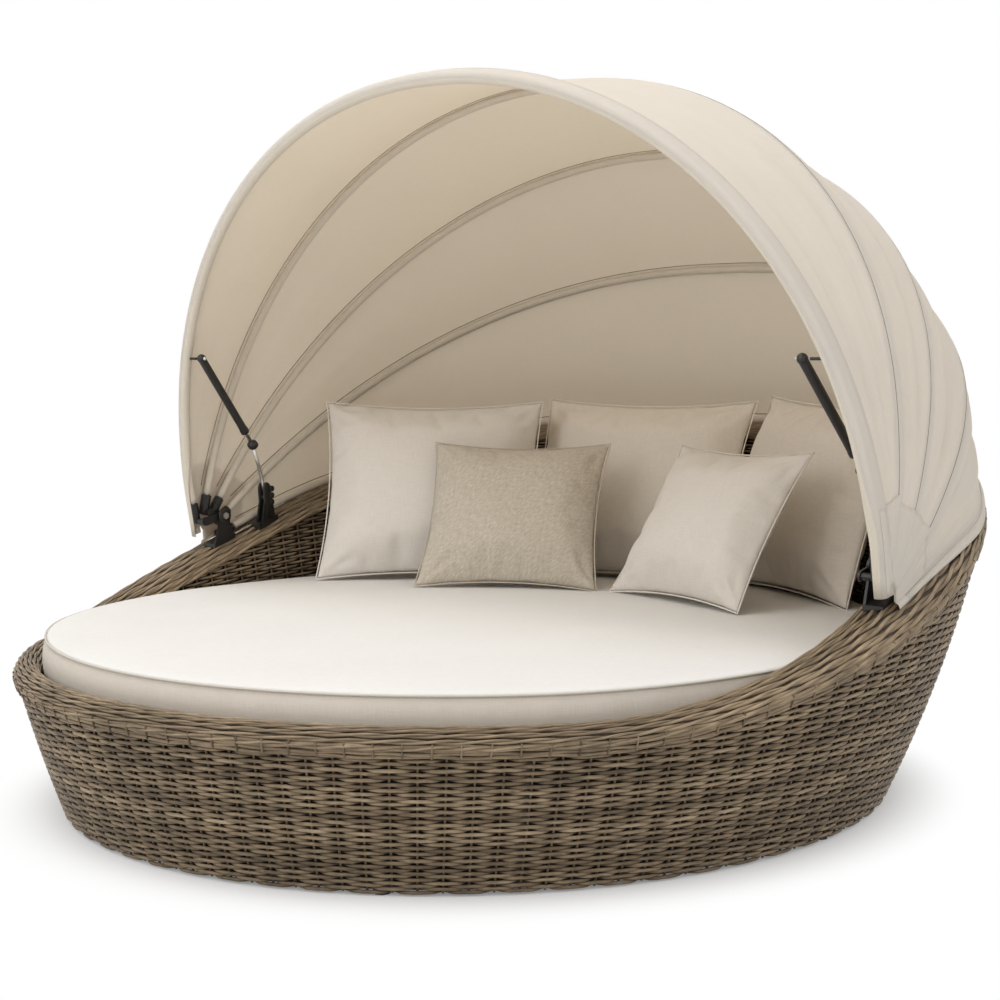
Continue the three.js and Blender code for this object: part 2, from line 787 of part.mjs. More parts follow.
function knuckle(i) {
  const { up, foot } = bowFrames[i];
  const inner = bracketInner + plateOrder[i] * plateStep;
  const stub = rod(foot.clone().setX(inner + plateThickness / 2), foot, stubDiameter);
  const body = joined(knucklePlate(foot, inner), stub, cup(foot, up));
  return cut(body, hubHole(boltReach + gap), socket(i));
}
bows.forEach((_, i) => addPair(`knuckle_${i}`, knuckle(i), 'plastic'));

// A foot that follows the rim's slope and is cut to its roll
function rimFoot(y, length, inner, outer) {
  const [front, back] = [y - length / 2, y + length / 2];
  const shape = outline([
    [front, rimTopAt(front) - footDepth],
    [back, rimTopAt(back) - footDepth],
    [back, rimTopAt(back) + footThickness],
    [front, rimTopAt(front) + footThickness],
  ]);
  return crossPlate(shape, inner, outer - inner);
}

// Hub bracket: foot, upright plate round the bolt, and the rear bow's stub and cup
function hubBracket() {
  const [front, back] = [hubY - hubFootLength / 2, hubY + hubFootLength / 2];
  const plate = crossPlate(outline([
    [front, rimTopAt(front)],
    [back, rimTopAt(back)],
    [hubY + hubWaist, hubZ - hubWaist],
    [hubY + hubTop, hubZ + hubTop],
    [hubY - hubTop, hubZ + hubTop],
    [hubY - hubWaist, hubZ - hubWaist],
  ]), bracketInner, plateThickness);
  const stub = rod(rearFoot.clone().setX(bracketInner + plateThickness / 2), rearFoot, stubDiameter);
  const foot = rimFoot(hubY, hubFootLength, bracketInner, bowHalfWidth);
  const body = joined(plate, foot, stub, cup(rearFoot, rearUp));
  return cut(body, hubHole(bracketInner + plateStep), socket(bows.length), rimForm);
}
addPair('hub_bracket', hubBracket(), 'plastic');

const headOuter = bracketInner - gap;
const boltHead = rod(
  hubPoint.clone().setX(headOuter - boltHeadHeight),
  hubPoint.clone().setX(headOuter),
  boltHeadDiameter,
  boltHeadSides,
);
const boltShank = crossRod(hubPoint, headOuter - overrun, boltReach, boltDiameter);
addPair('hub_bolt', joined(boltShank, boltHead), 'steel');

// Fabric. A cell is one point of a panel on its inner and outer face.
const fabricLift = cupDiameter / 2 + fabricGap;

function clothCell(inner, out) {
  return { inner, outer: inner.clone().addScaledVector(out, fabric) };
}

// The legs' points are left out, so that each row of a panel has its own turn
function panelPoint(i, k) {
  const at = k === 0 ? 0 : k + 1;
  const end = k === bowSteps ? at + 1 : at;
  return { p: bowPaths[i][end], out: bowOutward[i][end] };
}

function panelCell(i, k, share) {
  const [front, back] = [panelPoint(i, k), panelPoint(i + 1, k)];
  const out = front.out.clone().lerp(back.out, share).normalize();
  const ahead = front.p.clone().sub(back.p).normalize();
  const top = Math.sin(archTurns[k]);
  const between = Math.sin(Math.PI * share) * top;
  const fold = Math.sin(foldCount * archTurns[k] + rad(foldShiftAngle) * i) * (1 - top ** 2);
  const p = front.p.clone().lerp(back.p, share);
  p.addScaledVector(out, fabricLift + between * (foldDepth * fold - fabricSag));
  p.addScaledVector(ahead, seamGap * (2 * share - 1));
  return clothCell(p, out);
}

// The binding carries the first panel forward of the front bow
function bindingCell(k) {
  const [front, back] = [panelPoint(0, k), panelPoint(1, k)];
  const ahead = front.p.clone().sub(back.p).normalize();
  const p = front.p.clone().addScaledVector(front.out, fabricLift);
  return clothCell(p.addScaledVector(ahead, frontBinding), front.out);
}

// The hem ends a hand's breadth further round the rim's roll than the rear bow
function hemCell(k) {
  const angle = rearTurns[k];
  const turn = THREE.MathUtils.radToDeg(rearBowSeat(angle).turn) - hemTurnAngle;
  const outset = gap + braidThickness + hemLift;
  const inner = rollPoint(angle, outset, turn);
  return clothCell(inner, inner.clone().sub(rollPoint(angle, 0, turn)).normalize());
}

function panelRow(i, k) {
  const shares = Array.from({ length: fabricSteps + 1 }, (_, j) => j / fabricSteps);
  const cells = shares.map((share) => panelCell(i, k, share));
  if (i === 0) cells.unshift(bindingCell(k));
  if (i === bows.length - 1) cells.push(hemCell(k));
  return cells;
}

// Past the feet each panel hangs on as a flap
function flapRow(row, next) {
  return row.map(({ inner, outer }, j) => {
    const down = inner.clone().sub(next[j].inner).setX(0).setLength(fabricFlap);
    return { inner: inner.clone().add(down), outer: outer.clone().add(down) };
  });
}

function fabricPanel(i) {
  const rows = archTurns.map((_, k) => panelRow(i, k));
  const all = [flapRow(rows[0], rows[1]), ...rows, flapRow(rows[bowSteps], rows[bowSteps - 1])];
  const sections = all.map((row) => {
    return [...row.map((cell) => cell.outer), ...row.map((cell) => cell.inner).reverse()];
  });
  return sheetLoft(sections);
}
bows.forEach((_, i) => addPiece(`canopy_panel_${i}`, fabricPanel(i), 'canopy'));

// Knee stays: lever, knee and rod at rest, from the rim up to the front bow
const stayTop = bowFrames[0].foot.clone().addScaledVector(bowFrames[0].up, stayReach).setX(stayX);
const knee = v3(kneeX, kneeY, leverZ + kneeRise);
const leverPivot = v3(leverX, leverY, leverZ);
const leverBend = v3(leverX, leverBendY, leverZ + leverBendRise);
const stayDown = knee.clone().sub(stayTop).normalize();

function lever() {
  const half = leverDiameter / 2;
  const path = [leverPivot, leverBend, knee];
  const bar = barAlong(path, path.map(() => v3(1, 0, 0)), leverDiameter);
  const eye = crossRod(leverPivot, leverX - half, leverX + half, leverEyeDiameter);
  const hole = crossRod(
    leverPivot,
    leverX - half - overrun,
    leverX + half + overrun,
    holeFor(leverPinDiameter),
  );
  return cut(joined(bar, eye), hole, ball(knee, kneeDiameter + 2 * gap));
}
addPair('lever', lever(), 'steel');
addPair('knee', ball(knee, kneeDiameter), 'plastic');

function stayRod() {
  const low = knee.clone().addScaledVector(stayDown, -(kneeDiameter / 2 + gap));
  const half = stayEyeWidth / 2;
  return joined(
    rod(low, stayTop, stayRodDiameter),
    crossRod(stayTop, stayX - half, stayX + half, stayEyeDiameter),
  );
}
addPair('stay_rod', stayRod(), 'steel');

function staySleeve() {
  const low = knee.clone().addScaledVector(stayDown, -staySleeveStart);
  const high = stayTop.clone().addScaledVector(stayDown, staySleeveEnd);
  const bore = rod(
    low.clone().addScaledVector(stayDown, overrun),
    high.clone().addScaledVector(stayDown, -overrun),
    stayRodDiameter + 2 * gap,
  );
  return cut(rod(low, high, staySleeveDiameter), bore);
}
addPair('stay_sleeve', staySleeve(), 'plastic');

// Lever bracket: foot on the rim, two ears and the pin that the lever turns on
function leverBracket() {
  const shape = outline([
    [leverY - leverEarBase, rimTopAt(leverY - leverEarBase)],
    [leverY + leverEarBase, rimTopAt(leverY + leverEarBase)],
    [leverY + leverEarEnd, leverZ],
    [leverY + leverEarEnd / 2, leverZ + leverEarEnd],
    [leverY - leverEarEnd / 2, leverZ + leverEarEnd],
    [leverY - leverEarEnd, leverZ],
  ]);
  const open = leverDiameter / 2 + slideGap;
  const innerEar = crossPlate(shape, leverX - open - leverEarThickness, leverEarThickness);
  const outerEar = crossPlate(shape, leverX + open, leverEarThickness);
  const pin = crossRod(
    leverPivot,
    leverX - open - leverEarThickness / 2,
    leverX + open + leverEarThickness / 2,
    leverPinDiameter,
  );
  const foot = rimFoot(
    leverY,
    leverFootLength,
    leverX - open - leverEarThickness,
    leverX + leverFootReach,
  );
  return cut(joined(innerEar, outerEar, pin, foot), rimForm);
}
addPair('lever_bracket', leverBracket(), 'plastic');

// Tie rod from the hub bracket's foot to the lever bracket's
function tieRod() {
  const front = hubY + hubFootLength / 2 + 3 * gap;
  const back = leverY - leverFootLength / 2 - 3 * gap;
  const rise = footThickness / 2;
  return rod(v3(tieX, front, rimTopAt(front) + rise), v3(tieX, back, rimTopAt(back) + rise), tieDiameter);
}
addPair('tie_rod', tieRod(), 'steel');

// Bow clamp: a collar on the front bow, with a pin towards the stay's eye. The pin stops short
// of the eye, which slides along the bow while the canopy folds.
function bowClamp() {
  const path = bowPaths[0];
  const { up, foot } = bowFrames[0];
  const riseOf = (p) => p.clone().sub(foot).dot(up);
  const above = path.findLastIndex((p) => riseOf(p) > stayReach);
  const [high, low] = [path[above], path[above + 1]];
  const share = (stayReach - riseOf(low)) / (riseOf(high) - riseOf(low));
  const centre = low.clone().lerp(high, share);
  const along = high.clone().sub(low).setLength(clampLength / 2);
  const collar = rod(centre.clone().sub(along), centre.clone().add(along), bowDiameter + 2 * clampWall);
  const pin = crossRod(centre, stayX + stayEyeWidth / 2 + clampPinGap, centre.x, leverPinDiameter);
  return cut(joined(collar, pin), bowTube(0, bowDiameter + 2 * gap));
}
addPair('bow_clamp', bowClamp(), 'plastic');

export default daybed;
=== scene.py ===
import json
import math

import bmesh
import bpy
import numpy as np
from mathutils import Matrix, Vector


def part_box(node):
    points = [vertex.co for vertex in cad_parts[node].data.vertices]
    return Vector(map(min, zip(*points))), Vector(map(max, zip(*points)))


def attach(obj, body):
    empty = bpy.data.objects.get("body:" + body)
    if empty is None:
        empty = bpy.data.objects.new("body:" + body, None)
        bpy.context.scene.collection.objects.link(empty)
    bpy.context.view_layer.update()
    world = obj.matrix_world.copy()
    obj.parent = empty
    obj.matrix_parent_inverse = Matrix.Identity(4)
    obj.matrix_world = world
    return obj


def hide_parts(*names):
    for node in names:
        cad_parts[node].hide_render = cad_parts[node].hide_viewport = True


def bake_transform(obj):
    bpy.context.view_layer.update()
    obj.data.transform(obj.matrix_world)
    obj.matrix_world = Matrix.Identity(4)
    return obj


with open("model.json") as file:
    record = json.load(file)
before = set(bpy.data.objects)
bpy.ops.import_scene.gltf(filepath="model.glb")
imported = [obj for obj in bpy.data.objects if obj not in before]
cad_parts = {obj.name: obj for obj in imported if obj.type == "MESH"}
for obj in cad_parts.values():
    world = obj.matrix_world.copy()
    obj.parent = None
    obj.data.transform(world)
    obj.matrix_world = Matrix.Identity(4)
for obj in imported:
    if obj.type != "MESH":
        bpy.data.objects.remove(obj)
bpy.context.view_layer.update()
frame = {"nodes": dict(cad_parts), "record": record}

# Camera, floor and light: a long lens at chest height to the right of the open front, on a
# plain white floor, with a wide soft lamp overhead and weaker ones at the sides.
scene = bpy.context.scene
scene.view_settings.view_transform = "Standard"

camera = bpy.data.objects.new("camera", bpy.data.cameras.new("camera"))
camera.data.lens = 64.8
camera.data.sensor_width = 36.0
camera.data.clip_end = 50.0
camera.location = (2.3297, -2.8538, 0.8634)
camera_aim = Vector((-0.62376, 0.77769, -0.07821))
camera.rotation_euler = camera_aim.to_track_quat("-Z", "Y").to_euler()
scene.collection.objects.link(camera)
scene.camera = camera


def node_tree(owner):
    owner.use_nodes = True
    owner.node_tree.nodes.clear()
    return owner.node_tree.nodes, owner.node_tree.links


def with_camera_white(nodes, links, shader, white, share):
    """Mix in white, by a share, for rays from the camera and for what metal mirrors."""
    path = nodes.new("ShaderNodeLightPath")
    seen = nodes.new("ShaderNodeMath")
    seen.operation = "MAXIMUM"
    links.new(path.outputs["Is Camera Ray"], seen.inputs[0])
    links.new(path.outputs["Is Glossy Ray"], seen.inputs[1])
    part = nodes.new("ShaderNodeMath")
    part.operation = "MULTIPLY"
    links.new(seen.outputs[0], part.inputs[0])
    if isinstance(share, bpy.types.NodeSocket):
        links.new(share, part.inputs[1])
    else:
        part.inputs[1].default_value = share
    pick = nodes.new("ShaderNodeMixShader")
    links.new(part.outputs[0], pick.inputs[0])
    links.new(shader.outputs[0], pick.inputs[1])
    links.new(white.outputs[0], pick.inputs[2])
    return pick.outputs[0]


def ramp(nodes, links, source, stops):
    node = nodes.new("ShaderNodeValToRGB")
    links.new(source, node.inputs[0])
    while len(node.color_ramp.elements) < len(stops):
        node.color_ramp.elements.new(0.5)
    for element, (place, colour) in zip(node.color_ramp.elements, stops):
        element.position = place
        element.color = (*colour, 1)
    return node.outputs[0]


world = bpy.data.worlds.new("studio")
scene.world = world
nodes, links = node_tree(world)
white = nodes.new("ShaderNodeBackground")
white.inputs["Color"].default_value = (1, 1, 1, 1)
white.inputs["Strength"].default_value = 1.0
sky = nodes.new("ShaderNodeBackground")
sky.inputs["Strength"].default_value = 0.92
height = nodes.new("ShaderNodeSeparateXYZ")
links.new(nodes.new("ShaderNodeTexCoord").outputs["Generated"], height.inputs[0])
links.new(ramp(nodes, links, height.outputs["Z"], [
    (0.0, (0.42, 0.41, 0.40)), (0.35, (0.72, 0.71, 0.69)), (1.0, (1.0, 0.99, 0.97)),
]), sky.inputs["Color"])
links.new(
    with_camera_white(nodes, links, sky, white, 1.0), nodes.new("ShaderNodeOutputWorld").inputs[0]
)

shade_inside = 0.81
shade_outside = 1.05
shade_oval = 1.09
white_inside = 0.12
floor_paint = bpy.data.materials.new("studio_floor")
nodes, links = node_tree(floor_paint)
matte = nodes.new("ShaderNodeBsdfDiffuse")
matte.inputs["Color"].default_value = (0.86, 0.86, 0.86, 1)
glow = nodes.new("ShaderNodeEmission")
glow.inputs["Color"].default_value = (1, 1, 1, 1)
oval = nodes.new("ShaderNodeMapping")
oval.inputs["Scale"].default_value = (shade_oval, 1.0, 1.0)
links.new(nodes.new("ShaderNodeTexCoord").outputs["Object"], oval.inputs["Vector"])
from_middle = nodes.new("ShaderNodeVectorMath")
from_middle.operation = "LENGTH"
links.new(oval.outputs["Vector"], from_middle.inputs[0])
fade = nodes.new("ShaderNodeMapRange")
fade.interpolation_type = "SMOOTHSTEP"
fade.inputs["From Min"].default_value = shade_inside
fade.inputs["From Max"].default_value = shade_outside
fade.inputs["To Min"].default_value = white_inside
fade.inputs["To Max"].default_value = 1.0
links.new(from_middle.outputs["Value"], fade.inputs["Value"])
links.new(
    with_camera_white(nodes, links, matte, glow, fade.outputs[0]),
    nodes.new("ShaderNodeOutputMaterial").inputs[0],
)

bpy.ops.mesh.primitive_plane_add(size=30)
floor = bpy.context.object
floor.name = "studio_floor"
floor.data.materials.append(floor_paint)


def soft_lamp(name, place, aim, size, watts):
    lamp = bpy.data.objects.new(name, bpy.data.lights.new(name, "AREA"))
    lamp.data.size = size
    lamp.data.energy = watts
    lamp.location = place
    lamp.rotation_euler = (Vector(aim) - Vector(place)).to_track_quat("-Z", "Y").to_euler()
    scene.collection.objects.link(lamp)


soft_lamp("lamp_overhead", (-0.5, -1.3, 4.4), (0, 0, 0.3), 3.0, 76)
soft_lamp("lamp_right", (4.2, -0.6, 2.6), (0.4, 0.2, 0.7), 2.6, 26)
soft_lamp("lamp_front", (-0.7, -4.4, 2.2), (0, 0.2, 0.5), 2.6, 40)


# Woven skin: round strands of synthetic rattan in a plain weave over upright stakes, on both
# faces of a hollow wall. The rows lie level at the floor and lean towards the rim above it.
floor_half_width = 0.800
floor_half_depth = 0.877
spread_half_width = 0.196
spread_half_depth = 0.173
wall_bulge = 0.62
back_lean = 0.030
front_rim = 0.285
back_rim = 0.700
rim_roll = 0.026
rise_start = 50
rise_room = 110
rim_front_width = 0.040
rim_extra_width = 0.084
widen_start = 45
widen_room = 55
stake_count = 126
stake_diameter = 0.0046
strand_height = 0.0064
strand_depth = 0.0052
row_pitch = 0.0058
row_lean = 0.5
weave_swing = 0.0042
weave_bottom = 0.0075
dip_length = 0.30
dip_sink = 2.5
# Painted shade: a wall strand's tint is darkened by this share where it passes behind a stake.
dip_painted_shade = 0.9
dip_thinning = 0.52
row_wave = 0.0007
row_jitter = 0.00025
strand_tint = 0.60
strand_tint_spread = 0.13
along_tint_spread = 0.05
strand_height_spread = 0.03
row_wave_count = 9.7
row_wave_step = 1.7
cap_drop = 0.030
steps_per_stake = 6
rod_room = 0.020
rod_steps = 9
rod_tint = 0.42
shortest_rod = 0.05


def smooth(t):
    t = np.clip(t, 0, 1)
    return t * t * (3 - 2 * t)


def front_degrees(angle):
    turn = np.degrees(angle) % 360
    return np.minimum(turn, 360 - turn)


def rim_height(angle):
    rising = smooth((front_degrees(angle) - rise_start) / rise_room)
    return front_rim + (back_rim - front_rim) * rising


def rim_width(angle):
    widening = smooth((front_degrees(angle) - widen_start) / widen_room)
    return rim_front_width + rim_extra_width * widening


def wall(angle, z, inset):
    """Points at an inset from the outer wall's face; angles count from the front."""
    share = z / back_rim
    spread = share * (1 + wall_bulge * (1 - share))
    half_width = floor_half_width + spread_half_width * spread - inset
    half_depth = floor_half_depth + spread_half_depth * spread - inset
    x = half_width * np.sin(angle)
    y = back_lean * share - half_depth * np.cos(angle)
    return np.stack([x, y, z + 0 * x], -1)


def unit(v):
    return v / np.maximum(np.linalg.norm(v, axis=-1, keepdims=True), 1e-9)


def wall_outward(angle):
    return unit(np.stack([np.sin(angle), -np.cos(angle), 0 * angle], -1))


def swept(path, outward, width, height, sides=6, closed=False, roll=0.0):
    """Rings of an oval section along a path; outward is the direction of its height."""
    if closed:
        along = np.roll(path, -1, 0) - np.roll(path, 1, 0)
    else:
        along = np.gradient(path, axis=0)
    side = unit(np.cross(unit(along), outward))
    out = np.cross(side, unit(along))
    turns = 2 * np.pi * (np.arange(sides) + roll) / sides
    high = np.reshape(height, (-1, 1, 1)) / 2
    wide = np.reshape(width, (-1, 1, 1)) / 2
    ring = out[:, None] * np.cos(turns)[:, None] * high
    ring = ring + side[:, None] * np.sin(turns)[:, None] * wide
    return path[:, None] + ring


def grid_faces(rows, columns, close_rows=False, close_columns=False, first=0):
    i = np.arange(rows if close_rows else rows - 1)[:, None]
    j = np.arange(columns if close_columns else columns - 1)[None]
    a = i * columns + j
    b = i * columns + (j + 1) % columns
    c = (i + 1) % rows * columns + (j + 1) % columns
    d = (i + 1) % rows * columns + j
    return first + np.stack([a, b, c, d], -1).reshape(-1, 4)


def new_piece(name, points, faces, material, body="basket", replaces=(), slot=None):
    mesh = bpy.data.meshes.new(name)
    mesh.from_pydata(np.reshape(points, (-1, 3)).tolist(), [], [list(f) for f in faces])
    mesh.shade_smooth()
    piece = bpy.data.objects.new(name, mesh)
    scene.collection.objects.link(piece)
    mesh.materials.append(material)
    if body:
        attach(piece, body)
    if replaces:
        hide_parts(*replaces)
    return piece


def new_strands(name, strands, material, **place):
    """One piece from many swept strands, each (rings, closed, tint), with its ends filled.

    The grain attribute runs along each strand and round it, so that streaks follow it.
    """
    grain_radius = 0.0045
    grain_step = 0.031
    points, faces, tints, grains, first = [], [], [], [], 0
    for count, (rings, closed, tint) in enumerate(strands):
        rows, sides = rings.shape[:2]
        points.append(rings.reshape(-1, 3))
        faces.extend(grid_faces(rows, sides, closed, True, first).tolist())
        if not closed:
            faces.append(list(range(first + sides - 1, first - 1, -1)))
            faces.append(list(range(first + (rows - 1) * sides, first + rows * sides)))
        tints.append(np.repeat(np.broadcast_to(tint, rows), sides))
        steps = np.linalg.norm(np.diff(rings.mean(1), axis=0), axis=1)
        run = np.concatenate([[0], np.cumsum(steps)])
        turn = 2 * np.pi * np.arange(sides) / sides
        grain = np.empty((rows, sides, 3))
        grain[..., 0] = run[:, None]
        grain[..., 1] = grain_radius * np.cos(turn) + grain_step * count
        grain[..., 2] = grain_radius * np.sin(turn)
        grains.append(grain.reshape(-1, 3))
        first += rows * sides
    piece = new_piece(name, np.concatenate(points), faces, material, **place)
    shade = piece.data.attributes.new("tint", "FLOAT", "POINT")
    shade.data.foreach_set("value", np.concatenate(tints).astype(np.float32))
    along = piece.data.attributes.new("grain", "FLOAT_VECTOR", "POINT")
    along.data.foreach_set("vector", np.concatenate(grains).astype(np.float32).ravel())
    return piece


def new_material(name):
    material = bpy.data.materials.new(name)
    nodes, links = node_tree(material)
    shader = nodes.new("ShaderNodeBsdfPrincipled")
    links.new(shader.outputs[0], nodes.new("ShaderNodeOutputMaterial").inputs[0])
    return material, nodes, links, shader


def noise(nodes, links, scale, detail=3.0, vector=None, stretch=None):
    texture = nodes.new("ShaderNodeTexNoise")
    texture.inputs["Scale"].default_value = scale
    texture.inputs["Detail"].default_value = detail
    source = vector or nodes.new("ShaderNodeTexCoord").outputs["Object"]
    if stretch:
        mapping = nodes.new("ShaderNodeMapping")
        mapping.inputs["Scale"].default_value = stretch
        links.new(source, mapping.inputs["Vector"])
        source = mapping.outputs["Vector"]
    links.new(source, texture.inputs["Vector"])
    return texture.outputs["Fac"]


def mixed(nodes, links, share, a, b, kind="MIX"):
    node = nodes.new("ShaderNodeMix")
    node.data_type = "RGBA"
    node.blend_type = kind
    for socket, value in ((node.inputs[0], share), (node.inputs[6], a), (node.inputs[7], b)):
        if isinstance(value, bpy.types.NodeSocket):
            links.new(value, socket)
        else:
            socket.default_value = value if np.isscalar(value) else (*value, 1)
    return node.outputs[2]


def bumped(nodes, links, shader, source, strength, distance):
    bump = nodes.new("ShaderNodeBump")
    bump.inputs["Strength"].default_value = strength
    bump.inputs["Distance"].default_value = distance
    links.new(source, bump.inputs["Height"])
    links.new(bump.outputs[0], shader.inputs["Normal"])


rattan, nodes, links, shader = new_material("rattan")
# The tint attribute carries each strand's own tone and, on the wall and the rim cap, painted shade
# as well.
tint = nodes.new("ShaderNodeAttribute")
tint.attribute_name = "tint"
grain = nodes.new("ShaderNodeAttribute")
grain.attribute_name = "grain"
patches = noise(nodes, links, 9.0, 4.0)
streaks = noise(nodes, links, 420.0, 3.0, grain.outputs["Vector"], (0.07, 1.0, 1.0))
lengths = noise(nodes, links, 26.0, 2.0, grain.outputs["Vector"])
# The darkest stops are reached mostly through painted shade, where strands pass behind stakes.
strand_colour = ramp(nodes, links, tint.outputs["Fac"], [
    (0.0, (0.018, 0.012, 0.007)),
    (0.30, (0.122, 0.086, 0.053)),
    (0.60, (0.232, 0.175, 0.113)),
    (1.0, (0.375, 0.295, 0.202)),
])
weathered = mixed(nodes, links, 0.5, strand_colour, ramp(nodes, links, patches, [
    (0.35, (0.60, 0.58, 0.55)), (0.65, (1.15, 1.14, 1.12)),
]), "MULTIPLY")
weathered = mixed(nodes, links, 0.7, weathered, ramp(nodes, links, lengths, [
    (0.30, (0.62, 0.60, 0.57)), (0.70, (1.28, 1.27, 1.24)),
]), "MULTIPLY")
weathered = mixed(nodes, links, 0.7, weathered, ramp(nodes, links, streaks, [
    (0.30, (0.55, 0.53, 0.50)), (0.62, (1.22, 1.21, 1.20)),
]), "MULTIPLY")
links.new(weathered, shader.inputs["Base Color"])
shader.inputs["Roughness"].default_value = 0.52
shader.inputs["Specular IOR Level"].default_value = 0.35
bumped(nodes, links, shader, streaks, 0.5, 0.0007)

chance = np.random.default_rng(7)
stakes = np.arange(stake_count * steps_per_stake) / steps_per_stake
ring_angles = 2 * np.pi * stakes / stake_count


def row_height(angle, level):
    return level / (1 - row_lean * (1 - front_rim / rim_height(angle)))


def weave_rows(inset_at, lowest, facing):
    """Strand after strand, each in front of every other stake where the last went behind."""
    rows = []
    count = int((back_rim - cap_drop) / row_pitch)
    for k in range(count):
        angle = ring_angles
        z = row_height(angle, weave_bottom + k * row_pitch)
        shown = (z < rim_height(angle) - cap_drop) & (z > lowest)
        if shown.sum() < 3 * steps_per_stake:
            continue
        closed = bool(shown.all())
        order = np.arange(len(angle))
        if not closed:
            start = int(np.argmax(shown & ~np.roll(shown, 1)))
            order = np.roll(order, -start)
            order = order[: int(shown.sum())]
        angle = angle[order]
        z = z[order] + row_wave * np.sin(row_wave_count * angle + row_wave_step * k)
        z = z + chance.normal(0, row_jitter, len(order))
        parity = (stakes[order] + k) % 2
        dip = np.exp(-((np.minimum(parity, 2 - parity) - 1) / dip_length) ** 2)
        inset = inset_at(angle) - facing * weave_swing * (1 - dip_sink * dip)
        path = wall(angle, z, inset)
        out = wall_outward(angle) * facing
        tint = strand_tint + chance.normal(0, strand_tint_spread)
        tint = tint + chance.normal(0, along_tint_spread, len(order))
        # Painted shade: the strand darkens where it dips behind a stake.
        tint = np.clip(tint, 0.3, 1) * (1 - dip_painted_shade * dip)
        height = strand_height * (1 - dip_thinning * dip)
        height = height * (1 + chance.normal(0, strand_height_spread))
        rows.append((swept(path, out, height, strand_depth, 6, closed), closed, tint))
    return rows


def stake_rods(inset_at, lowest, facing):
    rods = []
    for angle in 2 * np.pi * np.arange(stake_count) / stake_count:
        top = float(rim_height(angle)) - rod_room
        if top - lowest < shortest_rod:
            continue
        z = np.linspace(lowest, top, rod_steps)
        path = wall(angle + 0 * z, z, float(inset_at(np.array(angle))))
        out = np.repeat(wall_outward(np.array([angle])) * facing, rod_steps, 0)
        rods.append((swept(path, out, stake_diameter, stake_diameter), False, rod_tint))
    return rods


outer_inset = weave_swing + strand_depth / 2
mattress_seam = 0.333
rods_low = 0.006
inner_rows_drop = 0.05
inner_rods_drop = 0.06
new_strands(
    "wicker_wall",
    weave_rows(lambda a: outer_inset + 0 * a, 0.0, 1)
    + stake_rods(lambda a: outer_inset, rods_low, 1),
    rattan, replaces=["wicker_outer"], slot="wicker",
)
new_strands(
    "wicker_inner_wall",
    weave_rows(lambda a: rim_width(a) - outer_inset, mattress_seam - inner_rows_drop, -1)
    + stake_rods(lambda a: rim_width(a) - outer_inset, mattress_seam - inner_rods_drop, -1),
    rattan, replaces=["wicker_inner"], slot="wicker",
)

# Painted shade: a near-black sheet that stands in for the shade inside the hollow wall.
painted_shade_liner_cloth, nodes, links, shader = new_material("painted_shade_liner")
shader.inputs["Base Color"].default_value = (0.012, 0.009, 0.007, 1)
shader.inputs["Roughness"].default_value = 0.9


liner_inset = 0.0165
liner_thickness = 0.001
liner_top_room = 0.022
liner_top_thickness = 0.003
liner_low = 0.008
liner_inner_low = 0.212
liner_steps = 96
liner_rows = 6


def liner_rings():
    """A near-black double sheet inside the wall, closed over the top and open below: painted shade
    for the hollow, seen through the gaps in the weave.
    """
    angle = 2 * np.pi * np.arange(liner_steps) / liner_steps
    high = rim_height(angle) - liner_top_room
    width = rim_width(angle)
    share = np.linspace(0, 1, liner_rows)[:, None]

    def sheet(low, top, inset, shares):
        return [wall(angle, low + (top - low) * s, inset) for s in shares]

    under = high - liner_top_thickness
    outer = sheet(liner_low, high, liner_inset, share)
    inner = sheet(liner_inner_low, high, width - liner_inset, share[::-1])
    back = sheet(liner_inner_low, under, width - liner_inset - liner_thickness, share)
    front = sheet(liner_low, under, liner_inset + liner_thickness, share[::-1])
    return np.stack(outer + inner + back + front, 1)


rings = liner_rings()
new_piece(
    "wicker_painted_shade_liner", rings, grid_faces(*rings.shape[:2], True, True), painted_shade_liner_cloth, slot="wicker"
)


# Rim cap: pairs of twisted strands laid side by side over the rolled rim, drawn together at
# the front where the rim is narrow. They are lengths of the same rattan as the wall, and a
# brown bed lies under them.
pair_count = 10
first_pair = math.radians(-6)
pair_room = math.radians(196) / pair_count
pair_sway = 0.24
cap_lift = 0.0036
cap_rise = 0.0014
cap_steps = 630
cap_twists = 37
cap_twist_spread = 4
cap_wander = 2.2
cap_wander_spread = 1.1
pair_phase = 1.9
cap_tint = 0.62
# Painted shade: this swing makes a cap strand lighter on its lifted crests and darker where it
# sinks.
cap_painted_shade_swing = 0.16
cap_tint_wave = 0.06
cap_strand_share = 0.56
cap_strand_overlap = 1.09
cap_strand_thickness = 0.0052
bed_lift = 0.0012
bed_under = 0.0004


def roll_point(angle, lift, turn):
    """A point over the rim's roll: turn 0 is outside, pi is inside."""
    half = rim_width(angle) / 2
    level = rim_height(angle) - rim_roll
    inset = half - (half + lift) * np.cos(turn)
    point = wall(angle, level, inset)
    point[..., 2] = level + (rim_roll + lift) * np.sin(turn)
    return point


def roll_outward(angle, turn):
    flat = wall_outward(angle) * np.cos(turn)[..., None]
    flat[..., 2] = np.sin(turn)
    return unit(flat)


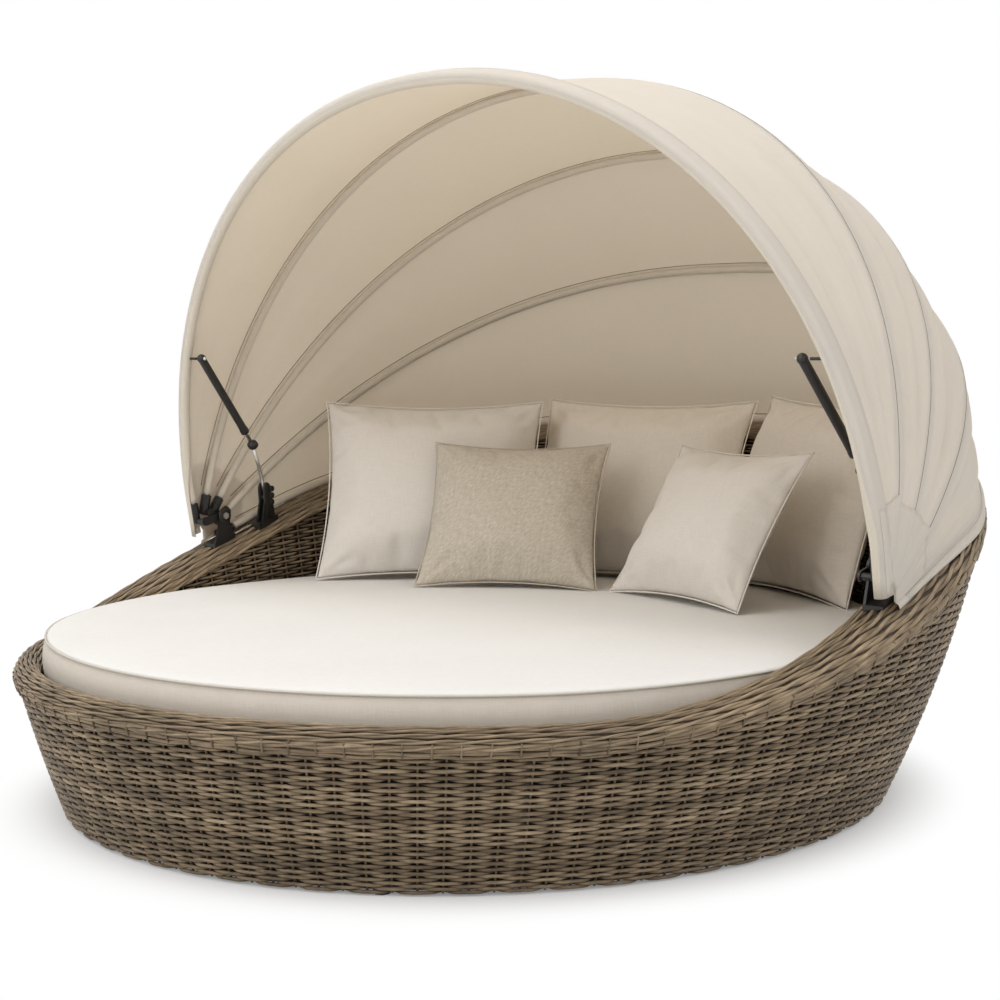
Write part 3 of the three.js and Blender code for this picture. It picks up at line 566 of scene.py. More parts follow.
cap_angles = 2 * np.pi * np.arange(cap_steps) / cap_steps
cap_strands = []
for pair in range(pair_count):
    twists = cap_twists + int(chance.integers(-cap_twist_spread, cap_twist_spread + 1))
    wander = sum(
        chance.normal(0, cap_wander_spread) / n * np.sin(n * cap_angles + chance.uniform(0, 6.3))
        for n in range(2, 9)
    )
    for side in (0, 1):
        phase = twists * cap_angles + cap_wander * wander + np.pi * side + pair_phase * pair
        turn = first_pair + pair_room * (pair + 0.5 + pair_sway * np.sin(phase))
        lift = cap_lift + cap_rise * np.cos(phase)
        girth = math.pi * (rim_width(cap_angles) / 2 + rim_roll) / 2
        width = cap_strand_share * girth * cap_strand_overlap / pair_count
        width = width * (1 + 0.06 * np.sin(29 * cap_angles + 3 * pair))
        path = roll_point(cap_angles, lift, turn)
        rings = swept(path, roll_outward(cap_angles, turn), width, cap_strand_thickness, 8, True)
        # Painted shade: each strand is lighter where its twist lifts it and darker where it sinks;
        # the slow wave and the random part are its own tone.
        shade = cap_tint + cap_painted_shade_swing * np.cos(phase)
        shade = shade + cap_tint_wave * np.sin(3 * cap_angles + 5 * pair)
        cap_strands.append((rings, True, np.clip(shade + chance.normal(0, 0.05), 0.2, 1)))
new_strands("rim_plaits", cap_strands, rattan, replaces=["rim_braid"], slot="wicker")

cap_bed, nodes, links, shader = new_material("cap_bed")
links.new(ramp(nodes, links, noise(nodes, links, 120.0, 3.0), [
    (0.35, (0.035, 0.025, 0.016)), (0.65, (0.085, 0.062, 0.042)),
]), shader.inputs["Base Color"])
shader.inputs["Roughness"].default_value = 0.8
bed_turns = np.radians(np.linspace(-8, 188, 15))
bed = [roll_point(cap_angles, bed_lift, turn + 0 * cap_angles) for turn in bed_turns]
bed += [roll_point(cap_angles, bed_under, turn + 0 * cap_angles) for turn in bed_turns[::-1]]
new_piece(
    "rim_bed", np.stack(bed, 1), grid_faces(cap_steps, len(bed), True, True), cap_bed, slot="wicker"
)


# Edge strands: four thin strands side by side under the cap, all round the outside. Short ties
# of the same rattan bind them to the stakes.
edge_drops = (0.0215, 0.0275, 0.0335, 0.0390)
edge_width = 0.0062
edge_depth = 0.0058
edge_wave = 0.0011
edge_ripple = 0.0007
edge_stand = 0.0012
edge_sway = 0.0009
tie_drops = np.array([0.0165, 0.0190, 0.0300, 0.0400, 0.0425])
tie_stands = np.array([-0.003, 0.0045, 0.0055, 0.0045, -0.002])
tie_slant = 0.0012
tie_width = 0.0036
tie_thickness = 0.0030
tie_tint = 0.45
edge_strands = []
for count, drop in enumerate(edge_drops):
    wave = edge_wave * np.sin(31 * cap_angles + 2.6 * count)
    wave = wave + edge_ripple * np.sin(67 * cap_angles + count)
    level = rim_height(cap_angles) - drop + wave
    stand = edge_stand + edge_sway * np.cos(63 * cap_angles + np.pi * count)
    path = wall(cap_angles, level, -stand)
    ring = swept(path, wall_outward(cap_angles), edge_width, edge_depth, 8, True)
    edge_strands.append((ring, True, 0.60 + 0.10 * np.sin(17 * cap_angles + 2 * count)))
for angle in 2 * np.pi * (np.arange(stake_count) + 0.5) / stake_count:
    slant = angle + np.linspace(-tie_slant, tie_slant, len(tie_drops)) * chance.normal(0, 1)
    path = wall(slant, rim_height(slant) - tie_drops, -tie_stands)
    ring = swept(path, wall_outward(slant), tie_width, tie_thickness, 6)
    edge_strands.append((ring, False, tie_tint + chance.normal(0, 0.1)))
new_strands("rim_edge_strands", edge_strands, rattan, replaces=["rim_band"], slot="wicker")


# Frame and deck: welded and powder coated tubes, oiled slats and black glides. Their shapes
# are the construction's own; here they get their finish and soft edges.
def finish_nodes(names, material, edge=0.0):
    for name in names:
        node = frame["nodes"][name]
        for slot in node.material_slots:
            slot.material = material
        if edge:
            bevel = node.modifiers.new("soft_edge", "BEVEL")
            bevel.width = edge
            bevel.segments = 2
            bevel.limit_method = "ANGLE"
            bevel.angle_limit = math.radians(40)


def coated(name, colour, roughness, grain, metallic=0.0, depth=0.0002):
    material, nodes, links, shader = new_material(name)
    mottle = noise(nodes, links, grain, 4.0)
    tone = ramp(nodes, links, mottle, [
        (0.3, tuple(0.8 * c for c in colour)), (0.7, tuple(min(1, 1.15 * c) for c in colour)),
    ])
    links.new(tone, shader.inputs["Base Color"])
    shader.inputs["Roughness"].default_value = roughness
    shader.inputs["Metallic"].default_value = metallic
    bumped(nodes, links, shader, mottle, 0.3, depth)
    return material


coat = coated("powder_coat", (0.10, 0.085, 0.07), 0.5, 240)
black_nylon = coated("black_nylon", (0.012, 0.011, 0.0105), 0.42, 300)
bright_steel = coated("bright_steel", (0.78, 0.76, 0.73), 0.34, 120, 1.0, 0.00005)
satin_tube = coated("satin_tube", (0.32, 0.30, 0.27), 0.35, 180, 1.0, 0.00005)

slat_wood, nodes, links, shader = new_material("slat_wood")
grain = noise(nodes, links, 6.0, 6.0, stretch=(1.0, 18.0, 18.0))
links.new(ramp(nodes, links, grain, [
    (0.3, (0.17, 0.11, 0.06)), (0.55, (0.30, 0.20, 0.115)), (0.75, (0.38, 0.27, 0.16)),
]), shader.inputs["Base Color"])
shader.inputs["Roughness"].default_value = 0.55
bumped(nodes, links, shader, grain, 0.3, 0.0006)

finish_nodes(["basket_frame", "centre_leg"], coat)
finish_nodes([f"deck_slat_{i}" for i in range(1, 6)], slat_wood, 0.003)
finish_nodes([f"glide_{i}" for i in range(1, 7)], black_nylon, 0.002)


# Mattress: a boxed foam pad in cream cloth. Its top is a little crowned, the band round its
# side has faint upright creases, and a corded seam joins the two. The band and the cord are
# darker, warmer copies of the cream cloth; their darkness is painted shade, for a side lit
# less than the top and for the shadow line along the seam.
def woven_cloth(name, colour, shade, thread, contrast, depth, twill=0.0, glow=None):
    """Woven cloth whose threads run along the piece's own flat coordinates, in metres.

    Twill adds slanting ribs by a share. Glow is the colour of the light that comes through.
    """
    material, nodes, links, shader = new_material(name)
    flat = nodes.new("ShaderNodeUVMap").outputs["UV"]
    warp = noise(nodes, links, 1 / thread, 2.0, flat, (1.0, 0.06, 1.0))
    weft = noise(nodes, links, 1 / thread, 2.0, flat, (0.06, 1.0, 1.0))
    threads = nodes.new("ShaderNodeMath")
    threads.operation = "ADD"
    links.new(warp, threads.inputs[0])
    links.new(weft, threads.inputs[1])
    weave = nodes.new("ShaderNodeMath")
    weave.operation = "MULTIPLY"
    weave.inputs[1].default_value = 0.5
    links.new(threads.outputs[0], weave.inputs[0])
    if twill:
        slanted = nodes.new("ShaderNodeMapping")
        slanted.inputs["Rotation"].default_value = (0, 0, math.radians(45))
        links.new(flat, slanted.inputs["Vector"])
        ribs = noise(nodes, links, 0.7 / thread, 2.0, slanted.outputs[0], (1.0, 0.30, 1.0))
        blend = nodes.new("ShaderNodeMix")
        blend.inputs["Factor"].default_value = twill
        links.new(weave.outputs[0], blend.inputs["A"])
        links.new(ribs, blend.inputs["B"])
        weave = blend
    woven = ramp(nodes, links, weave.outputs[0], [(0.36, shade), (0.64, colour)])
    clouds = noise(nodes, links, 5.0, 3.0)
    toned = mixed(nodes, links, contrast, colour, woven)
    toned = mixed(nodes, links, 0.10, toned, ramp(nodes, links, clouds, [
        (0.3, (0.72, 0.71, 0.70)), (0.7, (1.0, 1.0, 1.0)),
    ]), "MULTIPLY")
    links.new(toned, shader.inputs["Base Color"])
    shader.inputs["Roughness"].default_value = 0.92
    shader.inputs["Specular IOR Level"].default_value = 0.15
    shader.inputs["Sheen Weight"].default_value = 0.15
    shader.inputs["Sheen Roughness"].default_value = 0.6
    bumped(nodes, links, shader, weave.outputs[0], 0.5, depth)
    if glow:
        through = nodes.new("ShaderNodeBsdfTranslucent")
        through.inputs["Color"].default_value = (*glow, 1)
        both = nodes.new("ShaderNodeMixShader")
        both.inputs[0].default_value = 0.46
        links.new(shader.outputs[0], both.inputs[1])
        links.new(through.outputs[0], both.inputs[2])
        output = next(node for node in nodes if node.type == "OUTPUT_MATERIAL")
        links.new(both.outputs[0], output.inputs["Surface"])
    return material


def set_flat(piece, flat):
    """Store each vertex's place on the flat cloth, in metres."""
    layer = piece.data.uv_layers.new(name="cloth")
    corner = np.empty(len(piece.data.loops), dtype=np.int32)
    piece.data.loops.foreach_get("vertex_index", corner)
    layer.data.foreach_set("uv", np.reshape(flat, (-1, 2))[corner].astype(np.float32).ravel())


pad_thread = 0.0016
cream = woven_cloth(
    "cream_cloth", (0.77, 0.755, 0.73), (0.66, 0.64, 0.61), pad_thread, 0.5, 0.0004
)
mattress_low = 0.225
mattress_gap = 0.012
mattress_crown = 0.022
mattress_steps = 288
crease_depth = 0.0011
top_round = 0.006
top_round_share = 0.06
top_softness = 0.0012
seam_tuck = 0.0045
piping_diameter = 0.0042
piping_tuck = 0.0030
piping_drop = 0.0005


def mattress_ring(angle, z, tuck):
    level = np.minimum(z, rim_height(angle) - rim_roll)
    ring = wall(angle, level, rim_width(angle) + mattress_gap + tuck)
    ring[..., 2] = z
    return ring


angle = 2 * np.pi * np.arange(mattress_steps) / mattress_steps
side_shares = np.array([0, 0.03, 0.10, 0.22, 0.36, 0.5, 0.64, 0.78, 0.88, 0.95, 0.985])
side_tucks = np.array([
    0.030, 0.020, 0.010, 0.003, -0.001, -0.003, -0.003, -0.002, 0.001, 0.004, 0.0065,
])
creases = (
    np.sin(61 * angle + 1.3 * np.sin(5 * angle)) * (0.5 + 0.5 * np.sin(7 * angle + 1))
    + 0.7 * np.sin(97 * angle + 2.0 * np.sin(3 * angle)) * (0.5 + 0.5 * np.sin(11 * angle))
)
side_rings = []
for share, tuck in zip(side_shares, side_tucks):
    z = mattress_low + (mattress_seam - mattress_low) * share + 0 * angle
    depth = crease_depth * np.sin(np.pi * share) ** 0.7 * creases
    side_rings.append(mattress_ring(angle, z, tuck + depth))
seam_ring = mattress_ring(angle, mattress_seam + 0 * angle, seam_tuck)
top_shares = np.array([
    0.994, 0.985, 0.97, 0.94, 0.9, 0.84, 0.76, 0.66, 0.55, 0.43, 0.3, 0.17, 0.06,
])
top_rings = []
for share in top_shares:
    ring = seam_ring * [share, share, 1]
    edge = min(1.0, (1 - share) / top_round_share)
    round_up = top_round * math.sqrt(1 - (1 - edge) ** 2)
    soft = top_softness * np.sin(9 * ring[:, 0] + 2) * np.sin(7 * ring[:, 1]) * (1 - share ** 4)
    ring[:, 2] = mattress_seam + round_up + (mattress_crown - top_round) * (1 - share ** 2) + soft
    top_rings.append(ring)
rings = np.stack([*side_rings, seam_ring, *top_rings])
faces = grid_faces(len(rings), mattress_steps, False, True).tolist()
last = (len(rings) - 1) * mattress_steps
faces.append(list(range(last, last + mattress_steps)))
faces.append(list(range(mattress_steps - 1, -1, -1)))
mattress = new_piece(
    "mattress_pad", rings, faces, cream, replaces=["mattress"], slot="mattress_fabric"
)
# Painted shade: the side band is a darker, warmer copy of the cream cloth, for a side lit less than
# the top.
band_cloth_painted_shade = woven_cloth(
    "band_cloth_painted_shade", (0.64, 0.58, 0.51), (0.53, 0.475, 0.41), pad_thread, 0.5, 0.0004
)
mattress.data.materials.append(band_cloth_painted_shade)
for face in mattress.data.polygons[:(len(side_rings) - 1) * mattress_steps]:
    face.material_index = 1
flat = rings[..., :2].copy()
side_count = len(side_rings)
run = np.concatenate([[0], np.cumsum(np.linalg.norm(np.diff(seam_ring, axis=0), axis=1))])
flat[:side_count, :, 0] = run
flat[:side_count, :, 1] = rings[:side_count, :, 2]
set_flat(mattress, flat)

# Painted shade: the cord's cloth is darker than the cream to paint the shadow line along the seam.
piping_cloth_painted_shade = woven_cloth(
    "piping_cloth_painted_shade", (0.60, 0.56, 0.50), (0.46, 0.42, 0.36), pad_thread, 0.5, 0.0003
)


def new_piping(name, path, diameter, material, slot, closed=True):
    out = unit(path - path.mean(0))
    rings = swept(path, out, diameter, diameter, 8, closed)
    return new_strands(name, [(rings, closed, 0.5)], material, slot=slot)


seam_line = mattress_ring(angle, mattress_seam - piping_drop + 0 * angle, piping_tuck)
new_piping("mattress_piping", seam_line, piping_diameter, piping_cloth_painted_shade, "mattress_fabric")


# Pillows: three large back pillows and two throw pillows, each two squares of cloth sewn
# edge to edge and filled. The filling's push is a cloth simulation with the seam held.
pillow_steps = 44
pillow_cap = 0.012
pillow_pressure = 2.0
pillow_slack = 0.025
settle_frames = 22
seam_merge = 0.00005
seam_half = 0.0025
swell_power = 0.50
swell_share = 0.93
lump_depth = 0.0016
corner_fold = 0.0034
fold_distance = 0.30
fold_spread = 0.17
node_slots = {row["node"]: row["material_slot"] for row in frame["record"]["subparts"]}


def settled(piece, held):
    """Swell a closed cloth from inside with some vertices held, and keep the result."""
    group = piece.vertex_groups.new(name="seam")
    group.add(held, 1.0, "REPLACE")
    cloth = piece.modifiers.new("filling", "CLOTH")
    cloth.settings.quality = 6
    cloth.settings.mass = 0.25
    cloth.settings.tension_stiffness = 18
    cloth.settings.compression_stiffness = 18
    cloth.settings.shear_stiffness = 8
    cloth.settings.bending_stiffness = 0.4
    cloth.settings.shrink_min = -pillow_slack
    cloth.settings.use_pressure = True
    cloth.settings.uniform_pressure_force = pillow_pressure
    cloth.settings.vertex_group_mass = "seam"
    cloth.settings.effector_weights.gravity = 0
    cloth.point_cache.frame_start = 1
    cloth.point_cache.frame_end = settle_frames
    before = np.empty(len(piece.data.vertices) * 3)
    piece.data.vertices.foreach_get("co", before)
    before = before.reshape(-1, 3)
    for step in range(1, settle_frames + 1):
        scene.frame_set(step)
    swollen = piece.evaluated_get(bpy.context.evaluated_depsgraph_get())
    after = np.empty(len(before) * 3)
    swollen.data.vertices.foreach_get("co", after)
    piece.modifiers.remove(cloth)
    scene.frame_set(1)
    move = after.reshape(-1, 3) - before
    far = np.linalg.norm(move, axis=1, keepdims=True)
    move *= np.minimum(1, pillow_cap / np.maximum(far, 1e-9))
    piece.data.vertices.foreach_set("co", (before + move).ravel())
    piece.data.update()
    piece.vertex_groups.clear()


def pillow_form(width, height, half, pull, seed):
    """Two faces of a filled square, its outline drawn in between the corners."""
    rng = np.random.default_rng(seed)
    line = np.linspace(-1, 1, pillow_steps + 1)
    u, v = np.meshgrid(line, line)
    swell = ((1 - u ** 2) * (1 - v ** 2)) ** swell_power
    x = u * (width / 2 - pull * (1 - v ** 2))
    z = height / 2 + v * (height / 2 - pull * (1 - u ** 2))
    off = np.hypot(1 - abs(u), 1 - abs(v))
    bearing = np.arctan2(1 - abs(v), 1 - abs(u) + 1e-9)
    corner_folds = corner_fold * np.exp(-(((off - fold_distance) / fold_spread) ** 2))
    corner_folds = corner_folds * (1 - (u * v) ** 8)
    corner_folds = corner_folds * np.sin(10 * bearing + rng.uniform(0, 6)) * np.sin(2 * bearing)
    faces = []
    for side in (-1, 1):
        lumps = sum(
            rng.normal(0, lump_depth) * np.sin(rng.uniform(2, 6) * u + rng.uniform(0, 6))
            * np.sin(rng.uniform(2, 6) * v + rng.uniform(0, 6)) for _ in range(6)
        )
        y = side * (half * swell_share * swell + lumps * swell + corner_folds)
        faces.append(np.stack([x, y, z], -1))
    return faces


def new_pillow(name, node, size, yaw, lean, place, cloth, piping, seed):
    width, height, half, pull = size
    sides = pillow_form(width, height, half, pull, seed)
    columns = pillow_steps + 1
    count = columns * columns
    faces = grid_faces(columns, columns)
    both = np.concatenate([faces, count + faces[:, ::-1]])
    piece = new_piece(
        name, np.stack(sides), both.tolist(), cloth, replaces=[node], slot=node_slots[node]
    )
    set_flat(piece, np.tile(sides[0][..., [0, 2]].reshape(-1, 2), (2, 1)))
    made = bmesh.new()
    made.from_mesh(piece.data)
    bmesh.ops.remove_doubles(made, verts=made.verts, dist=seam_merge)
    made.to_mesh(piece.data)
    made.free()
    points = np.array([v.co for v in piece.data.vertices])
    edge = [i for i, p in enumerate(points) if abs(p[1]) < 1e-6]
    settled(piece, edge)
    turn = Matrix.Rotation(math.radians(yaw), 4, "Z") @ Matrix.Rotation(-math.radians(lean), 4, "X")
    piece.data.transform(turn)
    corners = [turn @ Vector((s * width / 2, f * seam_half, 0)) for s in (-1, 1) for f in (-1, 1)]
    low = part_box(node)[0][2] - min(c.z for c in corners)
    piece.data.transform(Matrix.Translation((*place, low)))
    subdivide = piece.modifiers.new("finer", "SUBSURF")
    subdivide.levels = subdivide.render_levels = 1
    front = sides[0]
    line = np.concatenate([front[0, :-1], front[:-1, -1], front[-1, :0:-1], front[:0:-1, 0]])
    line[:, 1] = 0
    moved = np.array([turn @ Vector(p) for p in line]) + [*place, low]
    new_piping(f"{name}_piping", moved, piping, cloth, node_slots[node])


linen_thread = 0.0018
twill_thread = 0.0024
sand_linen = woven_cloth(
    "sand_linen", (0.82, 0.755, 0.67), (0.65, 0.59, 0.51), linen_thread, 0.5, 0.0005
)
oat_linen = woven_cloth(
    "oat_linen", (0.78, 0.73, 0.67), (0.65, 0.60, 0.54), linen_thread, 0.5, 0.0005
)
sand_twill = woven_cloth(
    "sand_twill", (0.64, 0.575, 0.485), (0.42, 0.365, 0.285), twill_thread, 0.8, 0.0008, 0.6
)
big = (0.530, 0.465, 0.076, 0.019)
wide = (0.555, 0.465, 0.076, 0.019)
small = (0.415, 0.380, 0.064, 0.017)
for name, node, size, yaw, lean, place, cloth, piping, seed in (
    ("pillow_back_left", "back_pillow_left", big,
     36.5, 28, (-0.414, 0.300), oat_linen, 0.0032, 11),
    ("pillow_back_centre", "back_pillow_centre", wide,
     9, 25, (-0.098, 0.606), sand_linen, 0.0032, 12),
    ("pillow_back_right", "back_pillow_right", wide,
     -28, 20, (0.318, 0.634), sand_linen, 0.0036, 13),
    ("throw_twill", "throw_pillow_centre", small,
     27, 34, (-0.150, 0.252), sand_twill, 0.0030, 14),
    ("throw_linen", "throw_pillow_right", small,
     -16.5, 33, (0.256, 0.306), oat_linen, 0.0036, 15),
):
    new_pillow(name, node, size, yaw, lean, place, cloth, piping, seed)


# Bows: satin tubes, four on the hubs' knuckles and one along the rim. Each wears a tight
# sleeve of the canopy's cloth, which shows inside the canopy as a rib. The sleeve is a darker
# copy of that cloth, with no light coming through: painted shade on the rib.
hub = np.array([0, 0.060, 0.492])
bow_tilts = (11.16, -13.8, -35.23, -54.62)
bow_reaches = (0.940, 0.970, 1.020, 1.040)
bow_squareness = (2.08, 2.14, 2.14, 2.32)
bow_half_width = 0.885
bow_diameter = 0.016
sleeve_diameter = 0.0176
bow_straight = 0.045
bow_steps = 112
lobe_start = 0.057
lobe_pitch = 0.025
rear_start_degrees = 93.5
rear_start = math.radians(rear_start_degrees)
rear_inset = 0.022
rear_lift = 0.003
rear_leg = 0.049
rear_drift_room = 24
cap_swell = 0.0073
bow_sides = 14
sleeve_sides = 12
sleeve_length = 2.9
sleeve_girth = 0.058
bow_bodies = ("hoop_0", "hoop_1", "hoop_2", "hoop_3", "basket")
bow_nodes = ("bow_0", "bow_1", "bow_2", "bow_3", "rear_bow")

run = np.arange(bow_steps + 1) / bow_steps
turns = np.pi * (0.35 * run + 0.65 * smooth(run))
row_turns = np.concatenate([[0], turns, [np.pi]])


def bow_line(i):
    """A bow's centre line from its left foot over to the right one."""
    tilt = math.radians(bow_tilts[i])
    up = np.array([0, -math.sin(tilt), math.cos(tilt)])
    ahead = np.array([0, -up[2], up[1]])
    foot = hub + ahead * (lobe_start - lobe_pitch * i)
    power = 2 / bow_squareness[i]
    x = -bow_half_width * np.sign(np.cos(turns)) * np.abs(np.cos(turns)) ** power
    rise = bow_straight + (bow_reaches[i] - bow_straight) * np.sin(turns) ** power
    arch = foot + up * rise[:, None]
    arch[:, 0] = x
    ends = np.stack([foot, foot])
    ends[:, 0] = (-bow_half_width, bow_half_width)
    return np.concatenate([ends[:1], arch, ends[1:]])


def rear_inset_at(angle):
    outer = wall(np.array(rear_start), rim_height(angle), 0)[..., 0] - bow_half_width
    drift = smooth((front_degrees(angle) - rear_start_degrees) / rear_drift_room)
    return outer + (rear_inset - outer) * drift


def rear_seat(angle):
    """How far round the rim's roll the rear bow lies."""
    half = rim_width(angle) / 2
    return np.arccos((half - rear_inset_at(angle)) / (half + cap_swell))


def rear_point(angle):
    point = wall(angle, rim_height(angle), rear_inset_at(angle))
    cap = rim_height(angle) - rim_roll + (rim_roll + cap_swell) * np.sin(rear_seat(angle))
    point[..., 2] = cap + rear_lift + bow_diameter / 2
    return point


def rear_angle(turn):
    return 2 * np.pi - rear_start + (2 * rear_start - 2 * np.pi) * turn / np.pi


rear_turns = np.concatenate([[0], rear_leg + (np.pi - 2 * rear_leg) * turns / np.pi, [np.pi]])
lines = [bow_line(i) for i in range(4)] + [rear_point(rear_angle(rear_turns))]


def outward_from(line):
    along = unit(np.gradient(line, axis=0))
    away = line - hub
    return unit(away - along * (away * along).sum(-1, keepdims=True))


outward = [outward_from(line) for line in lines]

canopy_thread = 0.0021
canopy_cloth = woven_cloth(
    "canopy_cloth", (0.865, 0.85, 0.82), (0.76, 0.74, 0.705), canopy_thread, 0.45, 0.0004,
    glow=(0.94, 0.845, 0.705),
)
# Painted shade: the sleeve cloth is a darker copy of the canopy cloth, for ribs that sit in shade.
sleeve_cloth_painted_shade = woven_cloth(
    "sleeve_cloth_painted_shade", (0.70, 0.635, 0.54), (0.60, 0.54, 0.45), canopy_thread, 0.45, 0.0004
)


def in_place_of(node):
    return {"replaces": [node], "slot": node_slots[node]}


def rod(path, outward, width, height, sides):
    """One open strand, as new_strands takes it."""
    return swept(path, outward, width, height, sides), False, 0.5


def new_bow(i):
    tube = rod(lines[i], outward[i], bow_diameter, bow_diameter, bow_sides)
    new_strands(
        f"bow_tube_{i}", [tube], satin_tube, body=bow_bodies[i], **in_place_of(bow_nodes[i])
    )


def new_sleeve(i):
    line = lines[i][1:-1]
    run = np.linspace(0, 1, len(line))
    crimp = 1 + 0.02 * np.sin(330 * run) + 0.015 * np.sin(190 * run + i)
    tube = rod(line, outward[i][1:-1], sleeve_diameter * crimp, sleeve_diameter, sleeve_sides)
    piece = new_strands(
        f"bow_sleeve_{i}", [tube], sleeve_cloth_painted_shade, body=bow_bodies[i], slot="canopy_fabric"
    )
    girth = np.linspace(0, sleeve_girth, sleeve_sides) + 0 * run[:, None]
    set_flat(piece, np.stack([sleeve_length * run[:, None] + 0 * girth, girth], -1))
    return piece


for i in range(5):
    new_bow(i)
sleeves = [new_sleeve(i) for i in range(5)]


# Canopy panels: light outdoor cloth between neighbouring bows, taut over the top, with soft
# folds down to the right hub. A corner patch is sewn on at every foot.
cloth_thickness = 0.0016
cloth_lift = 0.0112
cup_lift = 0.0024
cup_reach_share = 0.12
seam_gap = 0.0004
seam_depth = 0.0028
seam_reach = 0.006
canopy_sag = 0.010
ripple_depth = 0.0058
ripple_room = 0.15
left_slack_share = 0.22
slack_from = 1.7
slack_room = 0.9
flap_length = 0.036
flap_steps = 3
patch_reach = 0.122
patch_thickness = 0.0012
patch_gap = 0.0018
hem_turn = math.radians(27)
hem_lift = 0.0095
hem_wave = 0.0010
hem_swell = 0.003
hem_steps = 6
panel_shares = np.array([0, 0.012, 0.03, 0.06, *np.linspace(0.12, 0.88, 13), 0.94, 0.97, 0.988, 1])


def near_cup(turn):
    return np.exp(-((np.sin(turn) / cup_reach_share) ** 2))


def panel_surface(i, share=panel_shares[None, :]):
    """Rows of points along the bows, from the front edge of the panel to its back edge."""
    a, b = lines[i][:, None], lines[i + 1][:, None]
    t = share[..., None]
    out = unit(outward[i][:, None] * (1 - t) + outward[i + 1][:, None] * t)
    turn = row_turns[:, None]
    top = np.sin(turn)
    across = np.sin(np.pi * share)
    near = near_cup(turn)
    room = np.linalg.norm(a - b, axis=-1)
    front_seam = np.exp(-((share * room / seam_reach) ** 2)) * (i > 0)
    back_seam = np.exp(-(((1 - share) * room / seam_reach) ** 2))
    to_right = left_slack_share + (1 - left_slack_share) * smooth((turn - slack_from) / slack_room)
    slack = to_right * (1 - top ** 2) ** 0.6 * np.minimum(1, room / ripple_room) ** 2
    folds = np.sin(2 * np.pi * (2.3 * share + 0.31 * i) + 1.9 * turn)
    folds = folds + 0.5 * np.sin(2 * np.pi * (4.6 * share - 0.2 * i) - 3.1 * turn + 1)
    creases = 0.25 * np.sin(33 * turn + 6 * share + i) * np.sin(5 * turn + 9 * share)
    lift = cloth_lift + cup_lift * near
    lift = lift - seam_depth * (front_seam + back_seam) * (1 - near)
    lift = lift + across * (ripple_depth * slack * (folds + creases) - canopy_sag * top)
    ahead = unit(a - b)
    surface = a * (1 - t) + b * t + out * lift[..., None] + ahead * (seam_gap * (2 * t - 1))
    return surface, out + 0 * surface


def hem_surface(surface, out):
    """The strip behind the rear bow, down to its free edge on the rim's roll."""
    angle = rear_angle(rear_turns)
    low_turn = rear_seat(angle) - hem_turn
    low = roll_point(angle, hem_lift + hem_wave * np.sin(41 * angle) * np.sin(9 * angle), low_turn)
    low_out = roll_outward(angle, low_turn)
    last, last_out = surface[:, -1], out[:, -1]
    columns, normals = [], []
    for s in np.linspace(0, 1, hem_steps + 1)[1:]:
        normal = unit(last_out * (1 - s) + low_out * s)
        columns.append(last * (1 - s) + low * s + normal * hem_swell * math.sin(math.pi * s))
        normals.append(normal)
    return np.stack(columns, 1), np.stack(normals, 1)


def with_flaps(surface, out):
    """Past the feet the panel hangs on for a few centimetres."""
    def below(row, inner):
        down = surface[row] - surface[inner]
        down[:, 0] = 0
        down = unit(down)
        steps = range(1, flap_steps + 1)
        return [surface[row] + down * flap_length * step / flap_steps for step in steps]

    left = below(0, 1)[::-1]
    right = below(-1, -2)
    rows = np.concatenate([np.stack(left), surface, np.stack(right)])
    ends = (out[:1].repeat(flap_steps, 0), out[-1:].repeat(flap_steps, 0))
    normals = np.concatenate([ends[0], out, ends[1]])
    return rows, normals


def spans(v):
    return np.linalg.norm(v, axis=-1)


def new_sheets(name, layers, thickness, material, **place):
    """One piece from closed thin sheets, each from its middle surface and its outward way."""
    points, faces, flats, first = [], [], [], 0
    for surface, out in layers:
        rows, columns = surface.shape[:2]
        face, back = surface + out * thickness / 2, surface - out * thickness / 2
        points.append(np.concatenate([face, back[:, ::-1]], 1).reshape(-1, 3))
        faces.extend(grid_faces(rows, 2 * columns, False, True, first).tolist())
        for end in (0, rows - 1):
            for j in range(columns - 1):
                quad = [j, j + 1, 2 * columns - 2 - j, 2 * columns - 1 - j]
                quad = [first + end * 2 * columns + q for q in quad]
                faces.append(quad[::-1] if end == 0 else quad)
        along = np.cumsum(spans(np.diff(surface, axis=0, prepend=surface[:1])), 0)
        across = np.cumsum(spans(np.diff(surface, axis=1, prepend=surface[:, :1])), 1)
        flat = np.stack([along, across], -1)
        flats.append(np.concatenate([flat, flat[:, ::-1]], 1).reshape(-1, 2))
        first += rows * 2 * columns
    piece = new_piece(name, np.concatenate(points), faces, material, **place)
    set_flat(piece, np.concatenate(flats))
    return piece


def corner_patches(surface, out):
    """The panel's own shape near its feet, a little further out."""
    run = np.cumsum(spans(np.diff(surface[:, 0], axis=0, prepend=surface[:1, 0])))
    count = int(np.searchsorted(run, flap_length + patch_reach))
    rise = cloth_thickness + patch_gap + patch_thickness / 2
    ends = (slice(0, count), slice(len(run) - count, None))
    return [(surface[rows] + out[rows] * rise, out[rows]) for rows in ends]


def new_canopy_piece(name, layers, thickness, i, **place):
    piece = new_sheets(
        name, layers, thickness, canopy_cloth, body=None, slot="canopy_fabric", **place
    )
    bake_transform(piece)
    return piece


